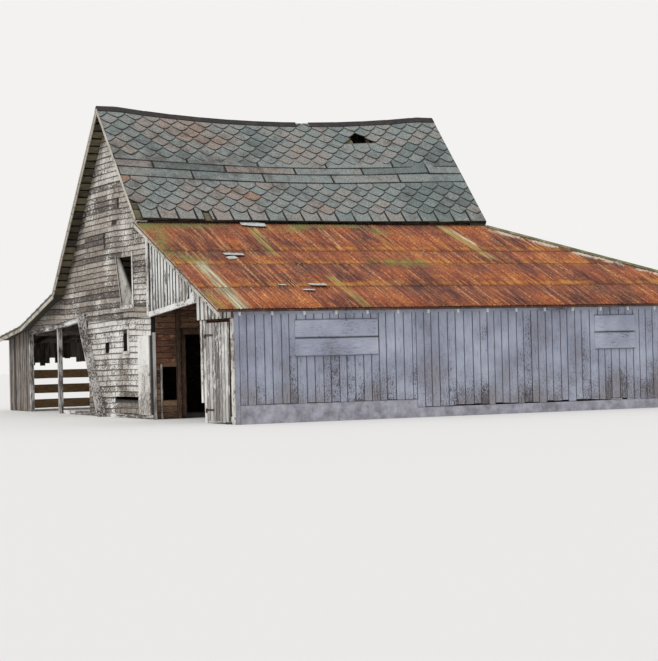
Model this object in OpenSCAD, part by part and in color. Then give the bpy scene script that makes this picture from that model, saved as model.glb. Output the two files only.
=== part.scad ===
// Old timber barn: a steep shingled roof with a sagging ridge over a crib, an open-fronted
// lean-to with a rusted metal roof that wraps the far end, and a low drive-through bay on the left.
// The front gable faces -Y, the ridge runs along Y and the rusted lean-to is on +X.
// The modules are drawn with X = 0 under the ridge and Y = 0 at the front edge of the roofs;
// place() then moves them so that the origin is on the ground under the middle of the barn.

/* [Main roof] */
// Height of the ridge above the ground, at its two ends
ridge_h = 7750; // [7500:50:8200]
// Ridge to the break in the left slope, measured level
left_run = 4200; // [4000:50:4400]
// Height of that break
kink_h = 3246; // [3200:2:3300]
// How far the right eave stands out past the crib's right wall
main_eave_out = 150; // [120:5:200]
// Length of the main roof along its ridge
roof_l = 9500; // [9200:100:10400]
// How far the ridge sags at the middle of its length
ridge_sag = 250; // [0:10:320]
// How far the right eave sags at the middle of its length
eave_sag = 40; // [0:5:60]
// Thickness of the main roof covering, square to the slope
main_cover = 50; // [30:5:80]

/* [Lean-to roofs] */
// How far the outer eave of the right lean-to stands out past the long wall
right_eave_out = 120; // [100:5:200]
// Height of that eave
right_eave_h = 2430; // [2380:10:2600]
// Gap between the main eave at its lowest and the lean-to roof tucked under it
tuck_gap = 10; // [5:1:30]
// Thickness of the lean-to roof covering, measured plumb
lean_cover = 40; // [20:5:60]
// Pitch of the left roof below its first break, in degrees
left_pitch = 14; // [12:0.5:15]
// Ridge to the second break of the left roof, measured level
left_break_x = 7400; // [7200:50:7600]
// Pitch of the left roof below its second break, in degrees
outer_pitch = 6.5; // [4:0.5:8]
// How far the outer eave of the left roof stands out past the left wall
left_eave_out = 150; // [100:10:300]

/* [Walls] */
// Overhang of the roofs past the front and back walls
overhang = 380; // [300:10:450]
// Thickness of the framed and sided walls
wall_t = 110; // [90:5:140]
// Thickness of the walls that are boards only
board_t = 30; // [20:5:45]
// Ridge to the outer face of the crib's right wall
crib_right_x = 2650; // [2600:10:2680]
// Ridge to the outer face of the crib's left wall
crib_left_x = 2200; // [2100:50:2400]
// Ridge to the outer face of the long right wall
long_wall_x = 7780; // [7720:10:7820]
// Ridge to the outer face of the left wall
left_wall_x = 10050; // [9900:10:10080]
// Height of the belt line where the upper siding steps out
belt_h = 2450; // [2350:10:2500]
// How far the upper siding steps out
belt_step = 30; // [10:5:50]
// Height of the long wall's footing in its front half
footing_h = 400; // [300:10:450]
// Height of the long wall's footing in its back half
footing_low_h = 220; // [150:10:280]
// Front edge of the roof to the place where the footing steps down
footing_step_y = 4760; // [4200:10:5200]
// Thickness of the footing
footing_t = 150; // [120:5:250]
// How far the footing's outer face is set back under the boards
footing_set = 8; // [2:1:15]
// Height of the timber sill on the ground in front
sill_h = 100; // [60:10:140]
// Width of the wide board nailed over the crib's front corner
wide_board_w = 800; // [600:10:850]
// Gap from the wide board to the corner
wide_board_gap = 120; // [60:10:160]
// Height of the top of the wide board
wide_board_top = 2000; // [1800:10:2200]
// Width of the corner board above the belt line
gable_board_w = 130; // [80:5:160]
// Height of the siding on the left wall
left_siding_h = 716; // [600:2:760]
// Height of each open plank below that siding
left_plank_h = 260; // [200:10:300]

/* [Openings] */
// Ridge to the left side of the loft hatch
hatch_x = 300; // [200:10:400]
// Width of the loft hatch
hatch_w = 1200; // [900:10:1250]
// Height of the sill of the loft hatch
hatch_sill = 2770; // [2700:10:2900]
// Height of the loft hatch
hatch_h = 1210; // [1000:10:1300]
// How far the foot of the hatch's left side stands in from its head
hatch_skew = 380; // [0:10:400]
// Ridge to the left side of the small window
window_x = 620; // [500:10:700]
// Width of the small window
window_w = 360; // [250:10:450]
// Height of the sill of the small window
window_sill = 1640; // [1500:10:1750]
// Height of the small window
window_h = 440; // [300:10:500]
// Ridge to the left side of the vent hole, to the left
vent_x = 810; // [700:10:900]
// Width of the vent hole
vent_w = 320; // [200:10:400]
// Height of the bottom of the vent hole
vent_sill = 1620; // [1500:10:1700]
// Height of the vent hole
vent_h = 270; // [200:10:350]
// From the wide board to the slot where a lower board is missing
slot_gap = 80; // [40:10:150]
// Length of that slot
slot_l = 1750; // [1200:10:1800]
// Height of the bottom of the slot
slot_z = 440; // [400:10:500]
// Height of the slot itself
slot_h = 130; // [100:10:160]
// Front edge of the roof to the tall doorway in the crib's right wall
crib_door_y = 1220; // [1150:10:1400]
// Width of that doorway
crib_door_w = 900; // [800:10:1100]
// Height of its top
crib_door_top = 2000; // [1900:10:2100]
// Front edge of the roof to the low hatch in the crib's right wall
crib_hatch_y = 640; // [600:10:680]
// Width of the low hatch
crib_hatch_w = 440; // [300:10:450]
// Height of the sill of the low hatch
crib_hatch_sill = 450; // [400:10:500]
// Height of the low hatch
crib_hatch_h = 790; // [600:10:850]
// Front edge of the roof to the first boarded window of the long wall
window_1_y = 1880; // [1700:10:2000]
// Width of the first boarded window
window_1_w = 1870; // [1500:10:2000]
// Front edge of the roof to the second boarded window
window_2_y = 9500; // [9000:10:9800]
// Width of the second boarded window
window_2_w = 980; // [800:10:1200]
// From the top of the long wall down to the boarded windows
window_drop = 150; // [120:10:250]
// Height of the boarded windows
long_window_h = 740; // [600:10:760]
// Thickness of the boards nailed over them
cover_board_t = 22; // [15:1:30]
// How far those boards lap over the edges of a window
cover_lap = 30; // [20:5:50]
// From the plank door's hinges to the right side of the lean-to's open doorway
doorway_gap = 535; // [400:5:700]
// Height of the middle of the beam over the doorway, above the eave and beside the crib
beam_over = 60; // [0:10:120]
// How far the beam rises to the right
doorway_rise = 230; // [100:10:260]
// Depth of the beam
beam_d = 120; // [90:5:150]
// Thickness of the beam
beam_t = 60; // [40:5:80]

/* [Plank door] */
// Width of the door
door_w = 1375; // [1000:5:1400]
// From the door's free edge to the corner board
door_gap = 50; // [20:5:90]
// From the height of the eave down to the top of the door
door_drop = 240; // [200:10:400]
// Gap under the door
door_lift = 30; // [15:5:60]
// Thickness of the door's planks
door_t = 30; // [25:1:40]
// How much narrower the worn door is at its foot
door_taper = 60; // [0:5:100]
// Radius of the hinge pins
pin_r = 8; // [6:1:10]
// Running clearance of the pins in the strap eyes
pin_gap = 0.5; // [0.3:0.1:0.9]
// Length of a strap, from its pin
strap_l = 420; // [300:10:600]
// Thickness of the strap hinges
strap_t = 6; // [5:1:8]
// Height of a strap
strap_h = 45; // [30:5:60]

/* [Framing] */
// Spacing of the rafters
rafter_step = 755; // [700:5:850]
// Width of a rafter
rafter_w = 50; // [40:5:60]
// Depth of a main rafter, measured plumb
main_rafter_d = 150; // [130:5:180]
// Depth of a lean-to rafter, measured plumb
lean_rafter_d = 110; // [90:5:130]
// Width of the posts
post_w = 120; // [100:5:140]
// Depth of the rake boards below the roof covering
rake_d = 100; // [60:5:130]
// Thickness of the rake boards
rake_t = 25; // [18:1:35]
// Depth of the header over the drive-through
header_d = 120; // [100:5:150]
// Width of the ridge caps on each slope, measured level
cap_w = 120; // [90:5:160]
// Thickness of the ridge caps, measured plumb
cap_t = 25; // [15:1:35]
// How far the outer edges of the ridge caps stand off the roof
cap_flare = 4; // [4:1:12]
// Thickness of the hip cap, measured plumb
hip_cap_t = 12; // [8:1:20]
// Clearance between pieces that rest on each other
seat = 0.3; // [0.2:0.1:0.6]
// How far the rafter tails stand out past the outer walls
tail_l = 50; // [20:5:90]
// Width of the loose plank that leans beside the drive-through
plank_w = 220; // [150:10:240]
// Thickness of that plank, measured level
plank_t = 50; // [40:5:60]

/* [Hidden] */

// Colours
siding_c = "#b8b2aa";
grey_wood_c = "#9a948c";
dark_wood_c = "#5c4a3e";
red_wood_c = "#6e3a2c";
pale_paint_c = "#b4b6c2";
white_wood_c = "#cfccc6";
shingle_c = "#74807c";
rust_c = "#8e4230";
iron_c = "#4a3b34";

// Eaves, measured level from the ridge
right_run = crib_right_x + main_eave_out;
right_eave_x = long_wall_x + right_eave_out;
left_eave_x = left_wall_x + left_eave_out;

// Slopes
main_rise = (ridge_h - kink_h) / left_run;
main_plumb = main_cover / cos(atan(main_rise));
left_rise = tan(left_pitch);
outer_rise = tan(outer_pitch);
right_tuck_h = ridge_h - right_run * main_rise - main_plumb - eave_sag - tuck_gap;
lean_rise = (right_tuck_h - right_eave_h) / (right_eave_x - right_run);
break_h = kink_h - (left_break_x - left_run) * left_rise;

// Places along the barn, from the front edge of the roofs
front_y = overhang;
front_in = front_y + wall_t;
back_y = roof_l - overhang;
back_in = back_y - wall_t;
far_y = roof_l + right_eave_x - right_run;
end_wall_y = far_y - (right_eave_x - long_wall_x);
rafter_start = 40;
first_rafter_y = front_in + rafter_start;
main_count = floor((back_in - rafter_w / 2 - first_rafter_y) / rafter_step) + 1;

// Tops of the roofs at a place x to the right of the ridge; p is the share of the full sag
function main_top(x, p) = ridge_h - abs(x) * main_rise
    - p * (x >= 0 ? ridge_sag + (eave_sag - ridge_sag) * x / right_run
                  : ridge_sag * (1 + x / left_run));
function lean_top(x) = right_eave_h + (right_eave_x - x) * lean_rise;
function left_top(x) = x >= -left_break_x ? kink_h + (x + left_run) * left_rise
                                         : break_h + (x + left_break_x) * outer_rise;

// Heights that what carries a roof reaches, just clear of its underside
lean_drop = lean_cover + seat;
function main_under(x, p) = main_top(x, p) - main_plumb - seat;
function lean_under(x) = lean_top(x) - lean_drop;
function left_under(x) = left_top(x) - lean_drop;
function sag_share(y) = let (s = (y - front_in) / (back_in - front_in))
    s <= 0 || s >= 1 ? 0 : 4 * s * (1 - s);
function rafter_y(k) = first_rafter_y + k * rafter_step;
function hip_x(y) = right_eave_x - (far_y - y);

// The sagging roof is straight over the gables and steps down from rafter to rafter
sag_stations = [[0, 0], [front_in, 0],
    for (k = [0:main_count - 1]) for (side = [-1, 1])
        [rafter_y(k) + side * rafter_w / 2, sag_share(rafter_y(k))],
    [back_in, 0], [roof_l, 0]];

// Tops of the walls that the rafters are notched over
notch = 20;
crib_wall_top = main_under(crib_right_x, 0) - main_rafter_d + notch;
kink_plate_top = main_under(-left_run, 0) - main_rafter_d + notch;
long_wall_top = lean_under(long_wall_x) - lean_rafter_d;
break_beam_top = left_under(-left_break_x - post_w / 2) - lean_rafter_d;
left_wall_top = left_under(-left_wall_x) - lean_rafter_d;
left_siding_z = left_wall_top - left_siding_h;
long_sill = long_wall_top - window_drop - long_window_h;

// Rafters of the lean-to roofs; half the hip rafter's width is measured along X or Y
hip_half = rafter_w / sqrt(2);
right_count = floor((end_wall_y - board_t - rafter_w / 2 - first_rafter_y) / rafter_step) + 1;
end_first_x = rafter_start + board_t + rafter_w / 2 - crib_right_x;
end_count = floor((long_wall_x - board_t - rafter_w / 2 - end_first_x) / rafter_step) + 1;
function end_rafter_x(k) = end_first_x + k * rafter_step;

// The drive-through on the left: its posts, and the underside of its crooked header
drive_past_break = 500;
mid_past_crib = 2800;
sill_past_crib = 2400;
header_drop = [1036, 926, 716];
drive_left_x = -left_break_x - drive_past_break;
drive_mid_x = -crib_left_x - mid_past_crib;
drive_sill_x = -crib_left_x - sill_past_crib;
header_left_z = kink_h - header_drop[0];
header_mid_z = kink_h - header_drop[1];
header_right_z = kink_h - header_drop[2];
function post_top(x) = lookup(x, [[drive_left_x, header_left_z], [drive_mid_x, header_mid_z],
    [-crib_left_x, header_right_z]]) - seat;

// The ridge cap is missing here, from the front edge of the roof
cap_gap = [5430, 5800];

// The loose plank's foot and top
plank_foot_in = 1350;
plank_top_out = [290, 60];
plank_foot_x = plank_foot_in - crib_left_x;
plank_top = [-crib_left_x - plank_top_out[0], header_right_z + header_d + plank_top_out[1]];

// The left wall's open planks and the rows of posts behind them
plank_lift = 40;
plank_top_gap = 100;
plank_step = (left_siding_z - plank_top_gap - left_plank_h - plank_lift) / 2;
left_plank_z = [for (k = [0:2]) plank_lift + k * plank_step];
inner_rows = [for (k = [1, 2]) front_y + (back_y - front_y) * k / 3 - post_w / 2];

// The lean-to's front: the panel over the door, and the loose boards beside the doorway
corner_board_w = 110;
door_left = long_wall_x - board_t - corner_board_w - door_gap - door_w;
door_top = right_eave_h - door_drop;
doorway_right = door_left - doorway_gap;
doorway_h = right_eave_h + beam_over;
side_panel_z = door_top + 60;
wide_board_x = crib_right_x - wide_board_gap - wide_board_w;
slot_right = wide_board_x - slot_gap;
block_size = [230, 180];
loose_board_x = [110, 220];
loose_board_z = [440, side_panel_z + 150];
loose_board_t = 40;
door_board_x = [20, 150];

// The rake boards are set back this far from the edges of the roof
rake_set = 10;

// The plank door's hinges
hinge_clear = 3;
eye_r = pin_r + pin_gap + strap_t;
hinge_x = door_left - eye_r;
hinge_y = front_y - eye_r - hinge_clear;
strap_z = [door_lift + 240, door_top - 290];
bracket_t = 12;
bracket_drop = 18;
bracket_w = 90;
pin_over = 8;

// The loft hatch has dropped and is wedged in its skewed opening: what it covers of the head and
// of the right side
hatch_right = hatch_x + hatch_w;
hatch_head = hatch_sill + hatch_h;
panel_head_w = 180;
panel_right_h = 180;

module place() {
    translate([(left_eave_x - right_eave_x) / 2, -far_y / 2, 0]) children();
}

// A box from one corner to the other
module box(low, high) {
    translate(low) cube(high - low);
}

// A plate with its outline in X and Z, from y0 to y1
module front_plate(outline, y0, y1) {
    translate([0, y1, 0]) rotate([90, 0, 0]) linear_extrude(y1 - y0) polygon(outline);
}

// A plate with its outline in Y and Z, from x0 to x1
module side_plate(outline, x0, x1) {
    translate([x0, 0, 0]) rotate([90, 0, 90]) linear_extrude(x1 - x0) polygon(outline);
}

// The part of the sagging roof's stations between two places along it
function stations_between(y0, y1) = [[y0, lookup(y0, sag_stations)],
    for (s = sag_stations) if (s[0] > y0 && s[0] < y1) s, [y1, lookup(y1, sag_stations)]];

// A strip that follows the sagging main roof: each profile point is a place x and an offset from
// the top of the roof there, anticlockwise as seen from the front
module sagged_strip(profile, stations) {
    n = len(profile);
    last = (len(stations) - 1) * n;
    points = [for (s = stations) for (q = profile) [q[0], s[0], main_top(q[0], s[1]) + q[1]]];
    sides = [for (j = [0:len(stations) - 2]) for (i = [0:n - 1])
        let (a = j * n + i, b = j * n + (i + 1) % n) each [[a, b, b + n], [a, b + n, a + n]]];
    front = [for (i = [n - 1:-1:0]) i];
    back = [for (i = [0:n - 1]) last + i];
    polyhedron(points, concat([front], sides, [back]));
}

// A layer of the right lean-to roof, from low to high above its top, as far as x1
module right_layer(low, high, x1) {
    x0 = hip_x(back_y);
    front_plate([[x0, lean_top(x0) + low], [x1, lean_top(x1) + low], [x1, lean_top(x1) + high],
        [x0, lean_top(x0) + high]], 0, far_y);
}

// The same layer of the roof over the far end, as far as y1
module end_layer(low, high, y1) {
    side_plate([[back_y, end_top(back_y) + low], [y1, end_top(y1) + low], [y1, end_top(y1) + high],
        [back_y, end_top(back_y) + high]], -right_run, right_eave_x);
}
function end_top(y) = lean_top(hip_x(y));

// The areas under the two lean-to roofs, as far as a line beside the hip
module right_area(off) {
    linear_extrude(ridge_h) polygon([[crib_right_x, 0], [right_eave_x, 0], [right_eave_x, far_y - off],
        [hip_x(back_y) + off, back_y], [crib_right_x, back_y]]);
}

// The roof over the far end is notched round the main roof's overhang
module end_area(off) {
    linear_extrude(ridge_h) polygon([[-crib_right_x, back_y], [hip_x(back_y) - off, back_y],
        [right_eave_x - off, far_y], [-right_run, far_y], [-right_run, roof_l + tuck_gap],
        [-crib_right_x, roof_l + tuck_gap]]);
}

// A band along the hip, off to each side of it, from y0 as far as x1 and y1
module hip_band(off, x1, y0, y1) {
    intersection() {
        linear_extrude(ridge_h) polygon([[hip_x(back_y) - off, back_y], [hip_x(back_y) + off, back_y],
            [right_eave_x, far_y - off], [right_eave_x, far_y], [right_eave_x - off, far_y]]);
        box([0, y0, 0], [x1, y1, ridge_h]);
    }
}

module front_sill() {
    color(grey_wood_c)
        box([drive_sill_x, front_y, 0], [crib_right_x, front_in, sill_h]);
}

module front_wall() {
    color(siding_c) difference() {
        box([-crib_left_x, front_y, sill_h], [crib_right_x, front_in, belt_h]);
        box([window_x, 0, window_sill], [window_x + window_w, roof_l, window_sill + window_h]);
        box([-vent_x, 0, vent_sill], [vent_w - vent_x, roof_l, vent_sill + vent_h]);
        box([slot_right - slot_l, 0, slot_z], [slot_right, roof_l, slot_z + slot_h]);
    }
}

module front_gable() {
    color(siding_c) difference() {
        front_plate([[crib_right_x, belt_h], [crib_right_x, main_under(crib_right_x, 0)],
            [0, main_under(0, 0)], [-left_run, main_under(-left_run, 0)],
            [-left_run, left_under(-left_run)], [-left_break_x, left_under(-left_break_x)],
            [drive_left_x, left_under(drive_left_x)], [drive_left_x, header_left_z + header_d],
            [drive_mid_x, header_mid_z + header_d], [-crib_left_x, header_right_z + header_d],
            [-crib_left_x, belt_h]], front_y - belt_step, front_in);
        front_plate([[hatch_x + hatch_skew, hatch_sill], [hatch_right, hatch_sill],
            [hatch_right, hatch_head], [hatch_x, hatch_head]], 0, roof_l);
    }
}

module corner_boards() {
    color(siding_c) {
        box([wide_board_x, front_y - board_t, sill_h],
            [wide_board_x + wide_board_w, front_y, wide_board_top]);
        box([crib_right_x - gable_board_w, front_y - belt_step - rake_t, belt_h],
            [crib_right_x, front_y - belt_step, lean_under(crib_right_x) - rake_d]);
    }
}

// Two beams that meet over the middle post
module drive_header() {
    joint_x = drive_mid_x + seat;
    color(grey_wood_c) {
        front_plate([[drive_left_x, header_left_z], [drive_mid_x, header_mid_z],
            [drive_mid_x, header_mid_z + header_d], [drive_left_x, header_left_z + header_d]],
            front_y, front_in);
        front_plate([[joint_x, header_mid_z], [-crib_left_x, header_right_z],
            [-crib_left_x, header_right_z + header_d], [joint_x, header_mid_z + header_d]],
            front_y, front_in);
    }
}

module drive_posts() {
    half = post_w / 2;
    color(grey_wood_c) {
        front_plate([[drive_left_x, 0], [drive_left_x + post_w, 0],
            [drive_left_x + post_w, post_top(drive_left_x + post_w)],
            [drive_left_x, post_top(drive_left_x)]], front_y, front_in);
        front_plate([[drive_mid_x - half, 0], [drive_mid_x + half, 0],
            [drive_mid_x + half, post_top(drive_mid_x + half)], [drive_mid_x, post_top(drive_mid_x)],
            [drive_mid_x - half, post_top(drive_mid_x - half)]], front_y, front_in);
    }
}

// A loose plank on edge, leaning beside the drive-through with its outer edge nailed to the gable
module leaning_board() {
    face_y = front_y - belt_step;
    half = plank_t / 2;
    color(siding_c) front_plate([[plank_foot_x - half, 0], [plank_foot_x + half, 0],
        plank_top + [half, 0], plank_top - [half, 0]], face_y - plank_w, face_y);
}

module left_front_boards() {
    color(grey_wood_c) front_plate([[-left_wall_x, 0], [drive_left_x, 0],
        [drive_left_x, left_under(drive_left_x)], [-left_wall_x, left_under(-left_wall_x)]],
        front_y, front_y + board_t);
}

module loft_hatch() {
    face_y = front_y - belt_step;
    color("#8d9a8c") front_plate([[hatch_x + hatch_skew + seat, hatch_sill + seat],
        [hatch_right - seat, hatch_sill + seat], [hatch_right - seat, hatch_sill + panel_right_h],
        [hatch_x + panel_head_w, hatch_head - seat], [hatch_x + seat, hatch_head - seat]],
        face_y, face_y + board_t);
}

module lean_front_upper() {
    color(pale_paint_c) front_plate([[crib_right_x, doorway_h], [doorway_right, doorway_h + doorway_rise],
        [doorway_right, lean_under(doorway_right)], [crib_right_x, lean_under(crib_right_x)]],
        front_y, front_y + board_t);
}

module lean_front_side() {
    color(pale_paint_c) front_plate([[doorway_right, side_panel_z], [long_wall_x, side_panel_z],
        [long_wall_x, lean_under(long_wall_x)], [doorway_right, lean_under(doorway_right)]],
        front_y, front_y + board_t);
}

module doorway_beam() {
    right_z = doorway_h + doorway_rise;
    half = beam_d / 2;
    beam_rise = doorway_rise / (doorway_right - crib_right_x);
    block_x = doorway_right - block_size[0];
    color(white_wood_c) {
        front_plate([[crib_right_x, doorway_h - half], [doorway_right, right_z - half],
            [doorway_right, right_z + half], [crib_right_x, doorway_h + half]], front_y - beam_t, front_y);
        front_plate([[block_x, right_z + half + seat - block_size[0] * beam_rise],
            [doorway_right, right_z + half + seat], [doorway_right, right_z + block_size[1]],
            [block_x, right_z + block_size[1]]], front_y - beam_t, front_y);
    }
}

module doorway_boards() {
    color(white_wood_c) {
        box([doorway_right + loose_board_x[0], front_y + board_t, loose_board_z[0]],
            [doorway_right + loose_board_x[1], front_y + board_t + loose_board_t, loose_board_z[1]]);
        box([door_left - door_board_x[1], front_y, 0],
            [door_left - door_board_x[0], front_y + board_t, side_panel_z]);
    }
}

module plank_door() {
    color(grey_wood_c) front_plate([[door_left, door_lift], [door_left + door_w - door_taper, door_lift],
        [door_left + door_w, door_top], [door_left, door_top]], front_y, front_y + door_t);
}

module door_straps() {
    color(iron_c) for (z = strap_z) difference() {
        union() {
            translate([hinge_x, hinge_y, z]) cylinder(r = eye_r, h = strap_h, $fn = 48);
            box([hinge_x, front_y - strap_t, z], [hinge_x + strap_l, front_y, z + strap_h]);
        }
        translate([hinge_x, hinge_y, z - 1]) cylinder(r = pin_r + pin_gap, h = strap_h + 2, $fn = 48);
    }
}

module door_pins() {
    plate_x = hinge_x - eye_r - 5;
    color(iron_c) for (z = strap_z) {
        low = z - bracket_drop - bracket_t;
        translate([hinge_x, hinge_y, low])
            cylinder(r = pin_r, h = bracket_drop + bracket_t + strap_h + pin_over, $fn = 48);
        box([plate_x, hinge_y - pin_r, low], [hinge_x + pin_r, hinge_y + pin_r, low + bracket_t]);
        box([plate_x - bracket_t, hinge_y - pin_r, low], [plate_x, front_y, low + bracket_t]);
        box([hinge_x - bracket_w, front_y - strap_t, low - bracket_t], [plate_x, front_y, z + strap_h / 2]);
    }
}

module corner_post() {
    color(pale_paint_c) {
        box([long_wall_x - post_w - board_t, front_y + board_t + seat, 0],
            [long_wall_x - board_t, front_y + board_t + post_w, long_wall_top]);
        box([long_wall_x - board_t - corner_board_w, front_y, 0],
            [long_wall_x, front_y + board_t, side_panel_z]);
    }
}

module long_wall() {
    color(pale_paint_c) difference() {
        side_plate([[front_y + board_t, footing_h], [footing_step_y, footing_h],
            [footing_step_y, footing_low_h], [end_wall_y, footing_low_h], [end_wall_y, long_wall_top],
            [front_y + board_t, long_wall_top]], long_wall_x - board_t, long_wall_x);
        for (w = [[window_1_y, window_1_w], [window_2_y, window_2_w]])
            box([0, w[0], long_sill], [right_eave_x, w[0] + w[1], long_sill + long_window_h]);
    }
}

// Two wide boards nailed over each window of the long wall
module window_boards() {
    board_gap = 8;
    board_h = (long_window_h + 2 * cover_lap - board_gap) / 2;
    color(pale_paint_c) for (w = [[window_1_y, window_1_w], [window_2_y, window_2_w]])
        for (z = [long_sill - cover_lap, long_sill - cover_lap + board_h + board_gap])
            box([long_wall_x, w[0] - 2 * cover_lap, z],
                [long_wall_x + cover_board_t, w[0] + w[1] + 2 * cover_lap, z + board_h]);
}

module long_footing() {
    y0 = front_y + board_t + post_w;
    y1 = end_wall_y - board_t;
    color("#8f8c88") side_plate([[y0, 0], [y1, 0], [y1, footing_low_h],
        [footing_step_y, footing_low_h], [footing_step_y, footing_h], [y0, footing_h]],
        long_wall_x - footing_set - footing_t, long_wall_x - footing_set);
}

module crib_right_wall() {
    color(red_wood_c) difference() {
        box([crib_right_x - wall_t, front_in, 0], [crib_right_x, back_in, crib_wall_top]);
        box([0, crib_door_y, -1], [right_eave_x, crib_door_y + crib_door_w, crib_door_top]);
        box([0, crib_hatch_y, crib_hatch_sill],
            [right_eave_x, crib_hatch_y + crib_hatch_w, crib_hatch_sill + crib_hatch_h]);
    }
}

module crib_left_wall() {
    color(dark_wood_c) box([-crib_left_x, front_in, 0],
        [wall_t - crib_left_x, back_in, header_right_z + header_d]);
}

module back_gable() {
    color(siding_c) front_plate([[crib_right_x, 0], [crib_right_x, main_under(crib_right_x, 0)],
        [0, main_under(0, 0)], [-left_run, main_under(-left_run, 0)], [-left_run, 0]], back_in, back_y);
}

module end_wall() {
    color(pale_paint_c) box([-crib_right_x, end_wall_y - board_t, 0],
        [long_wall_x - board_t, end_wall_y, long_wall_top]);
}

module end_side_wall() {
    color(pale_paint_c) side_plate([[back_y, 0], [end_wall_y - board_t, 0],
        [end_wall_y - board_t, end_top(end_wall_y - board_t) - lean_drop],
        [back_y, end_top(back_y) - lean_drop]], -crib_right_x, board_t - crib_right_x);
}

module left_wall_upper() {
    color(grey_wood_c) box([-left_wall_x, front_y + board_t, left_siding_z],
        [board_t - left_wall_x, back_y - board_t, left_wall_top]);
}

module left_wall_planks() {
    color(dark_wood_c) for (z = left_plank_z)
        box([-left_wall_x, front_y + board_t, z],
            [board_t - left_wall_x, back_y - board_t, z + left_plank_h]);
}

// Rows of posts: inside the left wall, under the second break and under the first
module left_posts() {
    half = post_w / 2;
    color(grey_wood_c) {
        for (y = concat(front_y + board_t, inner_rows, back_y - board_t - post_w))
            box([board_t - left_wall_x, y, 0], [board_t + post_w - left_wall_x, y + post_w, left_wall_top]);
        for (y = concat(inner_rows, back_in - post_w))
            box([-left_break_x - half, y, 0], [half - left_break_x, y + post_w, break_beam_top - post_w]);
        for (y = inner_rows)
            box([-left_run - half, y, 0], [half - left_run, y + post_w, kink_plate_top - post_w]);
    }
}

module left_beams() {
    half = post_w / 2;
    color(grey_wood_c) {
        box([-left_break_x - half, front_in, break_beam_top - post_w],
            [half - left_break_x, back_y - board_t, break_beam_top]);
        box([-left_run - half, front_in, kink_plate_top - post_w],
            [half - left_run, back_in, kink_plate_top]);
    }
}

module left_back_wall() {
    color(grey_wood_c) front_plate([[-left_wall_x, 0], [-left_run, 0], [-left_run, left_under(-left_run)],
        [-left_break_x, left_under(-left_break_x)], [-left_wall_x, left_under(-left_wall_x)]],
        back_y - board_t, back_y);
}

// Pairs of rafters that meet at the ridge, each pair cut to the sag at its place
module main_rafters() {
    color(dark_wood_c) for (k = [0:main_count - 1]) {
        p = sag_share(rafter_y(k));
        for (side = [[seat, crib_right_x, crib_wall_top], [0, -left_run, kink_plate_top]])
            front_plate([[side[0], main_under(side[0], p)], [side[0], main_under(0, p) - main_rafter_d],
                [side[1], side[2]], [side[1], main_under(side[1], p)]],
                rafter_y(k) - rafter_w / 2, rafter_y(k) + rafter_w / 2);
    }
}

module main_roof_right() {
    color(shingle_c) sagged_strip([[0, -main_plumb], [right_run, -main_plumb], [right_run, 0], [0, 0]],
        sag_stations);
}

module main_roof_left() {
    color(shingle_c) sagged_strip([[-left_run, -main_plumb], [0, -main_plumb], [0, 0], [-left_run, 0]],
        sag_stations);
}

// The ridge caps are pairs of boards, one on each slope, a little flatter than the slope
module ridge_caps() {
    color(dark_wood_c) for (part = [[0, cap_gap[0]], [cap_gap[1], roof_l]])
        for (side = [[[-cap_w, cap_flare + seat], [0, seat]], [[seat, seat], [cap_w, cap_flare + seat]]])
            sagged_strip([side[0], side[1], side[1] + [0, cap_t], side[0] + [0, cap_t]],
                stations_between(part[0], part[1]));
}

// A rake board hung under the edge of a roof, from a place on its underside almost to the next
module rake_board(a, b) {
    end = b - (b - a) * seat / (b[0] - a[0]);
    polygon([a, end, end - [0, rake_d], a - [0, rake_d]]);
}

module rake_boards() {
    main_foot = [right_run, main_under(right_run, 0)];
    apex = [0, main_under(0, 0)];
    kink = [-left_run, main_under(-left_run, 0)];
    outer_kink = [-left_run, left_under(-left_run)];
    break = [-left_break_x, left_under(-left_break_x)];
    left_end = [-left_eave_x, left_under(-left_eave_x)];
    color(siding_c) for (y = [rake_set, roof_l - rake_set - rake_t])
        translate([0, y + rake_t, 0]) rotate([90, 0, 0]) linear_extrude(rake_t) {
            difference() {
                rake_board(apex, main_foot);
                polygon([[crib_right_x, 0], [right_eave_x, 0], [right_eave_x, right_eave_h + seat],
                    [crib_right_x, lean_top(crib_right_x) + seat]]);
            }
            rake_board(kink, apex);
            rake_board(break, outer_kink);
            rake_board(left_end, break);
        }
    color(siding_c) translate([0, rake_set + rake_t, 0]) rotate([90, 0, 0]) linear_extrude(rake_t)
        rake_board([crib_right_x, lean_under(crib_right_x)], [right_eave_x, lean_under(right_eave_x)]);
}

module right_rafters() {
    half = rafter_w / 2;
    color(grey_wood_c) intersection() {
        right_layer(-lean_drop - lean_rafter_d, -lean_drop, long_wall_x + tail_l);
        right_area(hip_half);
        for (k = [0:right_count - 1])
            box([0, rafter_y(k) - half, 0], [right_eave_x, rafter_y(k) + half, ridge_h]);
    }
}

module hip_rafter() {
    color(grey_wood_c) intersection() {
        union() {
            intersection() {
                right_layer(-lean_drop - lean_rafter_d, -lean_drop, right_eave_x);
                right_area(0);
            }
            intersection() {
                end_layer(-lean_drop - lean_rafter_d, -lean_drop, far_y);
                end_area(0);
            }
        }
        hip_band(hip_half, long_wall_x + tail_l, back_y, end_wall_y + tail_l);
    }
}

module end_rafters() {
    half = rafter_w / 2;
    color(grey_wood_c) intersection() {
        end_layer(-lean_drop - lean_rafter_d, -lean_drop, end_wall_y + tail_l);
        end_area(hip_half);
        for (k = [0:end_count - 1])
            box([end_rafter_x(k) - half, 0, 0], [end_rafter_x(k) + half, far_y, ridge_h]);
    }
}

module right_roof() {
    color(rust_c) intersection() {
        right_layer(-lean_cover, 0, right_eave_x);
        right_area(0);
    }
}

module end_roof() {
    color(rust_c) intersection() {
        end_layer(-lean_cover, 0, far_y);
        end_area(0);
    }
}

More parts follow.
